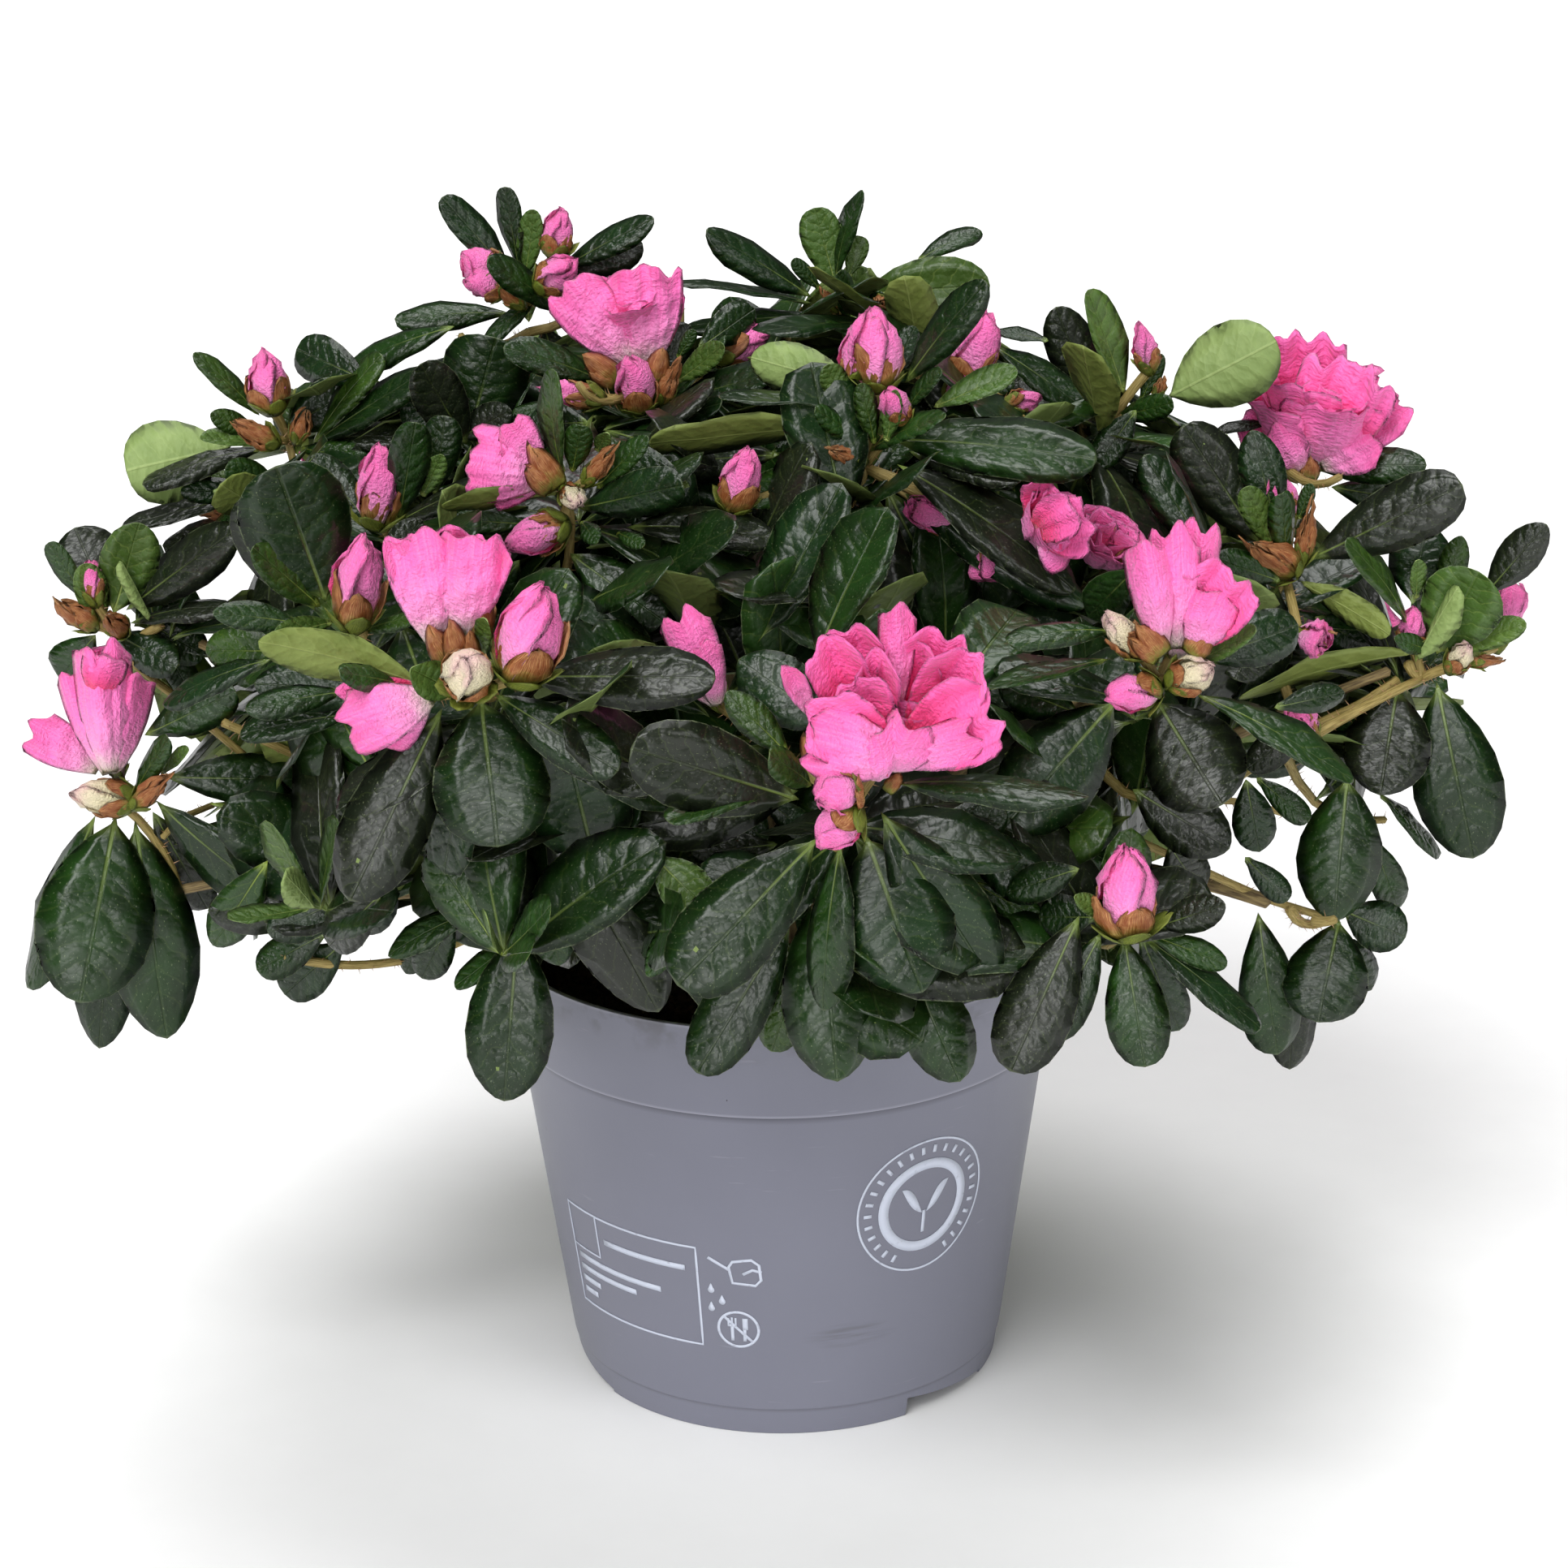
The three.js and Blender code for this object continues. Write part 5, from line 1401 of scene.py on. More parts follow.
# Buds: kind, where the foot shows, where the tip shows, width, depth y and how far forward.
BUDS = [
    ("pink", 1050, 968, 1006, 985, 60, -136, 6), ("pink", 1052, 996, 1012, 1046, 54, -137, 4),
    ("pink", 638, 836, 670, 720, 80, -110, 5), ("pale", 577, 846, 572, 812, 58, -112, 12),
    ("pink", 434, 772, 450, 654, 60, -58, 3), ("pink", 466, 646, 466, 546, 58, -12, 2),
    ("pale", 164, 986, 84, 978, 42, -32, 4), ("brown", 166, 992, 210, 954, 32, -34, 3),
    ("pink", 118, 742, 110, 690, 28, 8, 0), ("brown", 115, 772, 70, 738, 38, 8, 2),
    ("brown", 152, 780, 130, 758, 32, 6, 8), ("pink", 336, 505, 322, 430, 48, 22, 0),
    ("brown", 338, 546, 286, 520, 38, 18, 4), ("brown", 366, 542, 378, 503, 28, 22, 2),
    ("pink", 612, 342, 568, 312, 46, 52, 2), ("pink", 622, 352, 572, 346, 40, 50, 4),
    ("pink", 684, 314, 690, 256, 40, 53, 0), ("pink", 666, 354, 710, 320, 44, 50, 4),
    ("brown", 642, 377, 610, 345, 26, 48, 3), ("pink", 788, 502, 774, 440, 48, 14, 6),
    ("brown", 812, 494, 838, 446, 34, 16, 3), ("pink", 694, 645, 624, 674, 48, -48, 5),
    ("brown", 722, 594, 758, 550, 28, -46, 3), ("pale", 698, 604, 714, 622, 28, -48, 8),
    ("pink", 902, 627, 922, 551, 48, -40, 4), ("pink", 1084, 476, 1072, 378, 60, -24, 2),
    ("pink", 1050, 470, 1052, 400, 34, -22, 2), ("pink", 1112, 518, 1092, 480, 34, -28, 6),
    ("brown", 1062, 568, 1020, 554, 30, -30, 5), ("pink", 1188, 472, 1216, 382, 62, 18, 2),
    ("pink", 1168, 492, 1194, 458, 24, 14, 2), ("brown", 1030, 382, 1012, 354, 20, 52, 2),
    ("pink", 1416, 456, 1404, 398, 30, 34, 0), ("brown", 1424, 492, 1434, 462, 18, 34, 1),
    ("brown", 1594, 704, 1536, 664, 52, -22, 6), ("brown", 1604, 692, 1616, 622, 30, -20, 2),
    ("pink", 1590, 642, 1566, 580, 38, -17, 2), ("pale", 1404, 806, 1362, 754, 36, -97, 4),
    ("pink", 1424, 850, 1362, 860, 46, -100, 6), ("pale", 1444, 842, 1494, 820, 44, -100, 4),
    ("pink", 1740, 796, 1740, 748, 34, -18, 2), ("pale", 1788, 824, 1810, 794, 30, -24, 3),
    ("brown", 1812, 816, 1852, 812, 24, -22, 2), ("pink", 1390, 1150, 1387, 1042, 76, -126, 3),
    ("pink", 1240, 500, 1284, 490, 26, 8, 0), ("pink", 740, 492, 662, 478, 30, 8, 2),
]


# A bud's rings of petals, and of papery scales by its kind: how many, and their width and height
# over the bud's own.
BUD_PETALS = ((4, 1.0, 0.97), (3, 0.72, 1.02), (2, 0.35, 1.0))
BUD_SCALES = {
    "pink": ((4, 1.0, 0.6),), "pale": ((4, 1.0, 0.62),),
    "brown": ((4, 1.0, 0.8), (4, 0.85, 1.0), (3, 0.5, 1.1)),
}


def make_bud(parts, rng, kind, base, tip, width):
    """A bud: tightly rolled petals, or only scales, in overlapping papery scales and a calyx."""
    axis = unit(tip - base)
    length = np.linalg.norm(tip - base)
    bare = kind == "brown"  # only scales, closed at the tip
    wide = width * (0.42 if bare else 0.5)
    heights = np.array([0, 0.25, 0.55, 0.88, 1.0]) * length
    if not bare:
        body = parts["bud_petals" if kind == "pink" else "pale_petals"]
        for count, out, up in BUD_PETALS:
            radii = np.array([0.4, 1.0, 1.1, 0.85, 0.05 * count - 0.25]) * wide * out
            whorl(body, rng, base, axis, count, radii, heights * up, wide * 1.25 * out,
                  fold=wide * 0.08, ruffle=wide * 0.1, ragged=0.1, wrap=wide * 0.16, columns=8)
    for count, out, up in BUD_SCALES[kind]:
        radii = np.array([0.4, 1.0, 1.14, 1.04, 0.1 if bare else 1.02]) * wide * out
        whorl(parts["scales"], rng, base - axis * 0.6, axis, count, radii, heights * up,
              wide * 0.85 * out, fold=0.3, ragged=0.12, pointed=True, scatter=0.2)
    whorl(parts["calyx"], rng, base - axis * 1.4, axis, 5, np.array([0.4, 1.0, 1.2, 1.4]) * wide,
          np.array([0, 0.4, 0.8, 1]) * max(length * 0.3, 5.5), wide * 0.6, pointed=True, rows=4,
          columns=4)


def place_front_flower(parts, rng, maker, row):
    """Makes a bloom or a bud so that it shows as its table says, and gives its foot."""
    kind, right0, down0, right1, down1, width, y, forward = row
    base = seen(right0, down0, y)
    end = seen(right1, down1, y - forward)
    maker(parts, rng, kind, base, end, width * frame_unit(base))
    return base


GROWN_BLOOMS = 9  # open or opening blooms among the grown sprays
LEAST_DEPTH, HIGHEST_BLOOM = 15.0, 226.0  # where grown flowers may stand: y and z


def grow_flowers(parts, stalks, rng, heads):
    """Buds and blooms at the heads of the grown sprays, on the sides that the front hides."""
    blooms = 0
    for index in rng.permutation(len(heads)):
        head, axis = heads[index]
        if head[1] < LEAST_DEPTH:
            continue
        if blooms < GROWN_BLOOMS and head[2] < HIGHEST_BLOOM:
            kind = ("open", "flared", "barrel")[int(rng.choice(3, p=[0.3, 0.4, 0.3]))]
            size = rng.uniform(32, 44) if kind == "open" else rng.uniform(20, 28)
            way = unit(axis + rng.normal(0, 0.2, 3))
            foot = head + axis * 4
            mouth = foot + way * rng.uniform(24, 29)
            if shows_well([mouth, mouth + RIGHT * size / 2, mouth - RIGHT * size / 2, head]):
                make_bloom(parts, rng, kind, foot, mouth, size)
                stalks.append((head, foot))
                blooms += 1
        for _ in range(int(rng.integers(1, 5))):
            kind = ("pink", "brown", "pale")[int(rng.choice(3, p=[0.5, 0.35, 0.15]))]
            way = unit(axis + rng.normal(0, 0.5, 3))
            base = head + way * rng.uniform(2, 5)
            length = rng.uniform(9, 17)
            if shows_well([base + way * (length + 4)]):
                make_bud(parts, rng, kind, base, base + way * length,
                         length * rng.uniform(0.45, 0.6))
                stalks.append((head, base))


# ---------------------------------------------------------------- pot

POT_BASE_RADIUS = 53.0
WALL_TOP_RADIUS = 65.6
RIM_FOOT_RADIUS = 66.8
RIM_FOOT_HEIGHT = 90.0
RIM_DEPTH = 23.7
POT_WALL = 1.5
FOOT_HEIGHT, FOOT_STEP, FLOOR_HEIGHT = 7.0, 0.4, 5.5
POT_SEGMENTS = 144
NOTCH_COUNT, NOTCH_BEARING, NOTCH_WIDTH = 3, 49, 29.0
NOTCH_TALL_SIDE, NOTCH_LOW_SIDE, NOTCH_INNER, NOTCH_OUTER = 5.0, 1.0, 37.0, 64.0
DRAIN_COUNT, DRAIN_RADIUS, DRAIN_CIRCLE = 6, 3.5, 38.0
DRAIN_LOW, DRAIN_HIGH, DRAIN_SEGMENTS = 3.0, 9.0, 24  # the tool that cuts a drain hole
SOIL_LEVEL, SOIL_CROWN = 102.5, 1.5

# Painted light along the pot's edges: height, how far it fades down (-) or up, tone and strength.
PAINTED_EDGE_LIGHT = [
    # painted shade under the band and the foot's step; painted highlight on the band's edge and lip
    (RIM_FOOT_HEIGHT, -2.2, "#3C3C46", 0.75), (RIM_FOOT_HEIGHT, 0.9, "#9E9EAC", 0.8),
    (FOOT_HEIGHT, -0.9, "#55555F", 0.5), (POT_LIP_HEIGHT, -0.9, "#9A9AA8", 0.7),
]
ROUND_THE_POT = (70.0, 70.0, 900.0)  # how scratches and smears are stretched
DUST_FOOT = 104.0  # where the dust under the lip ends


def wall_radius(z):
    """The wall's outer radius at a height."""
    return POT_BASE_RADIUS + (WALL_TOP_RADIUS - POT_BASE_RADIUS) * z / RIM_FOOT_HEIGHT


def rim_radius(z):
    """The outer radius of the band under the lip at a height."""
    return RIM_FOOT_RADIUS + (POT_LIP_RADIUS - RIM_FOOT_RADIUS) * (z - RIM_FOOT_HEIGHT) / RIM_DEPTH


def turned(name, profile, segments):
    """A profile of (radius, height) turned round +Z, closed at both poles."""
    mesh = bpy.data.meshes.new(name)
    shell = bmesh.new()
    rings = []
    for radius, z in profile:
        if radius < 1e-6:
            rings.append([shell.verts.new((0, 0, z * MM))])
            continue
        turns = [2 * math.pi * i / segments for i in range(segments)]
        rings.append([shell.verts.new((
            radius * MM * math.sin(a), -radius * MM * math.cos(a), z * MM)) for a in turns])
    for low, high in zip(rings, rings[1:]):
        for i in range(segments):
            n = (i + 1) % segments
            ring = [low[i % len(low)], low[n % len(low)], high[n % len(high)], high[i % len(high)]]
            shell.faces.new(list(dict.fromkeys(ring)))
    bmesh.ops.recalc_face_normals(shell, faces=shell.faces)
    shell.to_mesh(mesh)
    shell.free()
    return new_object(name, mesh)


def corner(profile_point, before, after, size):
    """Rounds a corner of a profile: three points in place of one."""
    p, a, b = (np.array(x, float) for x in (profile_point, before, after))
    start, end = p + unit(a - p) * size, p + unit(b - p) * size
    return [tuple(start), tuple((start + end + 2 * p) / 4), tuple(end)]


def pot_profile():
    """The pot's section, up its outside and down its inside, with rounded corners."""
    foot_inner = wall_radius(FLOOR_HEIGHT) - FOOT_STEP - POT_WALL
    floor_top = FLOOR_HEIGHT + POT_WALL
    corners = [
        (0, FLOOR_HEIGHT, 0), (foot_inner, FLOOR_HEIGHT, 0.3),
        (POT_BASE_RADIUS - FOOT_STEP - POT_WALL, 0, 0.3), (POT_BASE_RADIUS - FOOT_STEP, 0, 0.5),
        (wall_radius(FOOT_HEIGHT) - FOOT_STEP, FOOT_HEIGHT, 0.12),
        (wall_radius(FOOT_HEIGHT), FOOT_HEIGHT + FOOT_STEP, 0.15),
        (WALL_TOP_RADIUS, RIM_FOOT_HEIGHT, 0.25), (RIM_FOOT_RADIUS, RIM_FOOT_HEIGHT, 0.35),
        (POT_LIP_RADIUS, POT_LIP_HEIGHT, 0.55), (POT_LIP_RADIUS - POT_WALL, POT_LIP_HEIGHT, 0.45),
        (RIM_FOOT_RADIUS - POT_WALL, RIM_FOOT_HEIGHT + 1, 0.4),
        (WALL_TOP_RADIUS - POT_WALL, RIM_FOOT_HEIGHT - POT_WALL, 0.4),
        (wall_radius(floor_top) - POT_WALL, floor_top, 0.6), (0, floor_top, 0)]
    profile = []
    for i, (radius, z, rounding) in enumerate(corners):
        if rounding == 0:
            profile.append((radius, z))
        else:
            profile += corner((radius, z), corners[i - 1][:2], corners[i + 1][:2], rounding)
    return profile


def cutter(name, outline, low, high, bearing):
    """A prism to cut with: an outline in (sideways, up), run outwards from low to high."""
    out, side = outward(bearing), outward(bearing + 90)
    ends = [[side * x + out * r + [0, 0, z] for x, z in outline] for r in (low, high)]
    count = len(outline)
    points = [tuple(p * MM) for end in ends for p in end]
    faces = [tuple(range(count)), tuple(range(2 * count - 1, count - 1, -1))]
    faces += [(i, i + count, (i + 1) % count + count, (i + 1) % count) for i in range(count)]
    mesh = bpy.data.meshes.new(name)
    mesh.from_pydata(points, [], faces)
    solid = bmesh.new()
    solid.from_mesh(mesh)
    bmesh.ops.recalc_face_normals(solid, faces=solid.faces)
    solid.to_mesh(mesh)
    solid.free()
    return new_object(name, mesh)


def plain_mesh(piece):
    """A piece's mesh with its modifiers applied and cleared."""
    graph = bpy.context.evaluated_depsgraph_get()
    mesh = bpy.data.meshes.new_from_object(piece.evaluated_get(graph))
    piece.modifiers.clear()
    return mesh


def make_pot(material):
    """The pot's shell, with drainage notches cut under its foot and holes through its floor."""
    pot = turned("pot_shell", pot_profile(), POT_SEGMENTS)
    tools = []
    for i in range(NOTCH_COUNT):
        half = NOTCH_WIDTH / 2
        outline = [(-half, -2), (half, -2), (half, NOTCH_LOW_SIDE), (-half, NOTCH_TALL_SIDE)]
        bearing = NOTCH_BEARING + 360 / NOTCH_COUNT * i
        tools.append(cutter(f"notch_{i}", outline, NOTCH_INNER, NOTCH_OUTER, bearing))
    for i in range(DRAIN_COUNT):
        place = outward(360 / DRAIN_COUNT * i) * DRAIN_CIRCLE
        hole = turned(f"drain_{i}", [
            (0, DRAIN_LOW), (DRAIN_RADIUS, DRAIN_LOW), (DRAIN_RADIUS, DRAIN_HIGH), (0, DRAIN_HIGH)],
            DRAIN_SEGMENTS)
        for vertex in hole.data.vertices:
            vertex.co += Vector(place * MM)
        tools.append(hole)
    for tool in tools:
        cut = pot.modifiers.new("cut", "BOOLEAN")
        cut.operation, cut.object, cut.solver = "DIFFERENCE", tool, "EXACT"
    pot.data = plain_mesh(pot)
    for tool in tools:
        bpy.data.objects.remove(tool)
    pot.data.materials.clear()
    pot.data.materials.append(material)
    pot.data.shade_smooth()
    pot.data.set_sharp_from_angle(angle=math.radians(35))
    return pot


# ---------------------------------------------------------------- plain printed marks

INK_LOW, INK_HIGH = 0.02, 0.09  # the ink's two faces, above the wall

# Where the origins of the marks, and the pot's grey smear, show in the frame.
PANEL_SEEN, DROPS_SEEN, CAN_SEEN = (700, 1478), (888, 1590), (915, 1568)
NO_EATING_SEEN, SEAL_SEEN, SMEAR_SEEN = (910, 1638), (1139, 1484), (1048, 1645)


def wall_place(right, down):
    """Bearing and height of the wall where a place in the frame falls on it."""
    y = -60.0
    for _ in range(12):
        point = seen(right, down, y)
        y = -math.sqrt(max(0.0, wall_radius(point[2]) ** 2 - point[0] ** 2))
    return math.degrees(math.atan2(point[0], -y)), point[2]


smear_bearing, smear_height = wall_place(*SMEAR_SEEN)
SMEAR_PLACE = tuple(MM * c for c in (
    *(outward(smear_bearing) * wall_radius(smear_height))[:2], smear_height))


class Ink:
    """Raised ink on the pot's wall. Marks are drawn in millimetres round (x) and up (z) from a
    place on the wall."""

    def __init__(self, material):
        self.cluster = Cluster("pot_marks", [material], ())

    def on_wall(self, origin, x, z, lift):
        """The point at x and z from a mark's origin, lifted off the wall."""
        bearing, height = origin
        radius = wall_radius(height)
        return outward(bearing + math.degrees(x / radius)) * (wall_radius(height + z) + lift) + [
            0, 0, height + z]

    def stroke(self, origin, path, width, closed=False):
        """A line of even width."""
        path = np.array(path, float)
        if closed:
            ahead, behind = np.roll(path, -1, axis=0), np.roll(path, 1, axis=0)
        else:
            ahead = np.vstack([path[1:], 2 * path[-1] - path[-2]])
            behind = np.vstack([2 * path[0] - path[1], path[:-1]])
        way = ahead - behind
        way /= np.linalg.norm(way, axis=1)[:, None]
        across = np.stack([-way[:, 1], way[:, 0]], 1) * width / 2
        rings = [[self.on_wall(origin, *(p + s * a), lift)
                  for s, lift in ((-1, INK_LOW), (1, INK_LOW), (1, INK_HIGH), (-1, INK_HIGH))]
                 for p, a in zip(path, across)]
        points = np.array(rings).reshape(-1, 3)
        count = len(path)
        faces = []
        for i in range(count if closed else count - 1):
            a, b = 4 * i, 4 * ((i + 1) % count)
            faces += [(a + k, a + (k + 1) % 4, b + (k + 1) % 4, b + k) for k in range(4)]
        if not closed:
            faces += [(3, 2, 1, 0), tuple(4 * (count - 1) + k for k in range(4))]
        self.cluster.add(points, faces, [0] * len(faces), {})

    def patch(self, origin, outline):
        """A filled shape."""
        outline = [tuple(p) for p in outline]
        count = len(outline)
        points = np.array([self.on_wall(origin, x, z, lift)
                           for lift in (INK_LOW, INK_HIGH) for x, z in outline])
        faces = [tuple(reversed(range(count))), tuple(range(count, 2 * count))]
        faces += [(i, (i + 1) % count, (i + 1) % count + count, i + count) for i in range(count)]
        self.cluster.add(points, faces, [0] * len(faces), {})

    def ring(self, origin, centre, radius, width):
        turns = np.linspace(0, 2 * math.pi, 64, endpoint=False)
        self.stroke(origin, [(centre[0] + radius * math.cos(a), centre[1] + radius * math.sin(a))
                             for a in turns], width, closed=True)


def straight(start, end, steps=10):
    """Points on a straight line, close enough together to follow the wall's curve."""
    return [tuple(np.array(start) + (np.array(end) - start) * i / steps) for i in range(steps + 1)]


PANEL_WIDTH, PANEL_HEIGHT = 42.7, 27.5
PANEL_BARS = [  # left end, height and length, from the panel's upper left corner
    (14.5, -6.2, 25), (2, -14.0, 30), (2, -17.2, 22), (2, -20.4, 8), (2, -23.6, 6)]


def print_panel(ink):
    """A label's panel, with a nook in its corner and plain bars for its lines."""
    origin = wall_place(*PANEL_SEEN)
    wide, low = PANEL_WIDTH, -PANEL_HEIGHT
    box = (straight((0, 0), (wide, 0)) + straight((wide, 0), (wide, low))[1:]
           + straight((wide, low), (0, low))[1:] + straight((0, low), (0, 0))[1:-1])
    ink.stroke(origin, box, 0.6, closed=True)
    nook = straight((0.2, -11.5), (12, -11.5)) + straight((12, -11.5), (12, -0.2))[1:]
    ink.stroke(origin, nook, 0.5)
    for x, z, length in PANEL_BARS:
        ink.stroke(origin, straight((x, z), (x + length, z), 6), 1.5)


def print_drops(ink):
    """Three drops of water."""
    origin = wall_place(*DROPS_SEEN)
    turns = np.linspace(0, 2 * math.pi, 18, endpoint=False)
    for x, z in ((-2.4, 0), (0.2, -3.0), (-2.6, -5.2)):
        ink.patch(origin, [
            (x + 0.85 * math.sin(a) * (1 - 0.45 * max(0, math.cos(a))),
             z + (1.0 + 0.75 * max(0, math.cos(a)) ** 3) * math.cos(a)) for a in turns])


def print_can(ink):
    """A watering can: its body, its spout and its handle."""
    origin = wall_place(*CAN_SEEN)
    body = [(-2.6, -3.2), (-3.4, 1.2), (-2.4, 2.8), (2.2, 3.6), (4.0, 2.2), (4.4, -2.0),
            (3.0, -3.6)]
    ink.stroke(origin, body, 0.75, closed=True)
    ink.stroke(origin, straight((-3.2, 0.4), (-8.4, 3.4), 4), 0.8)
    ink.stroke(origin, [(0.0, -0.6), (2.4, 0.8), (4.6, 0.2)], 0.75)


# The struck-out fork and knife: upright strokes, as place, foot, top and breadth.
FORK_AND_KNIFE = [
    (-1.5, -3.3, 1.0, 0.8), (-2.4, 1.0, 3.0, 0.45), (-1.5, 1.0, 3.3, 0.45),
    (-0.6, 1.0, 3.2, 0.45), (1.5, -3.3, 0.0, 0.8), (1.7, 0.0, 3.2, 1.3)]


def print_no_eating(ink):
    """A fork and a knife in a ring, struck out."""
    origin = wall_place(*NO_EATING_SEEN)
    ink.ring(origin, (0, 0), 4.9, 0.7)
    for x, low, high, breadth in FORK_AND_KNIFE:
        ink.stroke(origin, straight((x, low), (x, high), 4), breadth)
    ink.stroke(origin, straight((-2.6, 1.0), (-0.4, 1.0), 3), 0.6)
    ink.stroke(origin, straight((-3.4, 3.4), (3.4, -3.4), 4), 0.7)


def print_seal(ink):
    """A round seal: two rings with ticks between them, round a sprout of two leaves."""
    origin = wall_place(*SEAL_SEEN)
    ink.ring(origin, (0, 0), 17.7, 0.55)
    ink.ring(origin, (0, 0), 11.2, 2.6)
    for turn in range(-150, 151, 12):
        way = np.array([math.sin(math.radians(turn)), math.cos(math.radians(turn))])
        ink.stroke(origin, straight(way * 14.2, way * 16.2, 2), 0.9)
    for lean in (-1, 1):
        upper, lower = ([
            (lean * (0.6 + 6.0 * t / math.pi), -2 + 7.5 * t / math.pi + bulge * math.sin(t))
            for t in np.linspace(0, math.pi, 12)] for bulge in (2.4, -1.6))
        outline = upper + lower[-2:0:-1]
        ink.patch(origin, outline if lean < 0 else outline[::-1])
    ink.stroke(origin, straight((0, -7.5), (0, -1.5), 4), 0.9)


def print_marks(material):
    """Every mark on the pot, as one piece."""
    ink = Ink(material)
    for mark in (print_panel, print_drops, print_can, print_no_eating, print_seal):
        mark(ink)
    return ink.cluster.make()


# ---------------------------------------------------------------- substrate


def make_substrate(material):
    """The root ball: a body that fills the pot, with an uneven top."""
    inset = POT_WALL + 0.6
    floor = FLOOR_HEIGHT + POT_WALL + 0.4
    radii = [0, 8, 16, 24, 32, 40, 48, 54, 59, 63, 66]
    profile = [(r, SOIL_LEVEL + SOIL_CROWN * (1 - r / 68)) for r in radii]
    profile += [(rim_radius(SOIL_LEVEL) - inset, SOIL_LEVEL - 0.4),
                (RIM_FOOT_RADIUS - inset, RIM_FOOT_HEIGHT),
                (WALL_TOP_RADIUS - inset, RIM_FOOT_HEIGHT - 2), (wall_radius(floor) - inset, floor),
                (0, floor)]
    body = turned("root_ball_peat", profile, 120)
    rng = np.random.default_rng(SEED + 3)
    waves = rng.uniform(-1, 1, (14, 3))
    for vertex in body.data.vertices:
        x, y, z = np.array(vertex.co) / MM
        if z > SOIL_LEVEL - 1 and math.hypot(x, y) > 10:
            bump = sum(math.sin(x * a * 0.5 + y * b * 0.5 + 6 * c) for a, b, c in waves) / 5
            vertex.co.z += (bump * 0.8 + rng.uniform(-0.35, 0.35)) * MM
    body.data.materials.append(material)
    body.data.shade_smooth()
    return body


def crumb(name, rng):
    """One crumb of peat, 1 unit across."""
    lump = bmesh.new()
    bmesh.ops.create_icosphere(lump, subdivisions=1, radius=0.5)
    for vertex in lump.verts:
        vertex.co *= rng.uniform(0.7, 1.25)
        vertex.co.z *= 0.75
    mesh = bpy.data.meshes.new(name)
    lump.to_mesh(mesh)
    lump.free()
    return new_object(name, mesh)


def strew(name, ground, sizes, material, place):
    """Small shapes strewn over a copy of a piece, by a node tree with named inputs. place adds
    the tree's own nodes, and returns the one that sets the shapes on their points."""
    tree = bpy.data.node_groups.new(name, "GeometryNodeTree")
    face = tree.interface
    face.new_socket("Geometry", in_out="INPUT", socket_type="NodeSocketGeometry")
    inputs = {}
    for label, value in sizes.items():
        socket = face.new_socket(label, in_out="INPUT", socket_type="NodeSocketFloat")
        inputs[socket.identifier] = value
    face.new_socket("Geometry", in_out="OUTPUT", socket_type="NodeSocketGeometry")
    start, end = tree.nodes.new("NodeGroupInput"), tree.nodes.new("NodeGroupOutput")
    real = add(tree, "GeometryNodeRealizeInstances", {0: place(tree, start.outputs)})
    done = add(tree, "GeometryNodeSetMaterial", {0: real, "Material": material})
    tree.links.new(done.outputs[0], end.inputs[0])
    piece = new_object(name, ground.data.copy())
    strewn = piece.modifiers.new("strewn", "NODES")
    strewn.node_group = tree
    for identifier, value in inputs.items():
        strewn[identifier] = value
    piece.data = plain_mesh(piece)
    return piece


CRUMB_KINDS = 4
CRUMB_SIZES = {
    "Crumbs per square metre": 90000.0, "Smallest": 0.0012, "Largest": 0.0042,
    "Lowest height": (SOIL_LEVEL - 0.5) * MM,
}
FULL_TURNS = (6.28, 6.28, 6.28)


def scatter_crumbs(ground, material):
    """Crumbs on the root ball's top, each one of a few lumps, with fixed seeds."""
    kinds = bpy.data.collections.new("crumb_kinds")
    for i in range(CRUMB_KINDS):
        lump = crumb(f"crumb_{i}", np.random.default_rng(SEED + 10 + i))
        bpy.context.scene.collection.objects.unlink(lump)
        kinds.objects.link(lump)

    def place(tree, given):
        height = add(tree, "SeparateXYZ", {0: add(tree, "GeometryNodeInputPosition")})
        above = add(tree, "FunctionNodeCompare", {0: height.outputs[2], 1: given["Lowest height"]},
                    data_type="FLOAT", operation="GREATER_THAN")
        points = add(tree, "GeometryNodeDistributePointsOnFaces", {
            "Mesh": given["Geometry"], "Selection": above,
            "Density": given["Crumbs per square metre"], "Seed": 5})
        turn = add(tree, "FunctionNodeRandomValue", {
            1: FULL_TURNS, "Seed": 2}, data_type="FLOAT_VECTOR")
        size = add(tree, "FunctionNodeRandomValue", {
            2: given["Smallest"], 3: given["Largest"], "Seed": 3}, data_type="FLOAT")
        return add(tree, "GeometryNodeInstanceOnPoints", {
            "Points": points.outputs["Points"], "Pick Instance": True,
            "Instance": add(tree, "GeometryNodeCollectionInfo", {0: kinds, 1: True, 2: True}),
            "Rotation": turn.outputs["Value"], "Scale": size.outputs["Value"]})

    piece = strew("peat_crumbs", ground, CRUMB_SIZES, material, place)
    for lump in list(kinds.objects):
        bpy.data.objects.remove(lump)
    bpy.data.collections.remove(kinds)
    return piece


# ---------------------------------------------------------------- hairs on the young twigs

HAIR_SIZES = {"Hairs per square metre": 160000.0, "Shortest": 0.0009, "Longest": 0.0019}


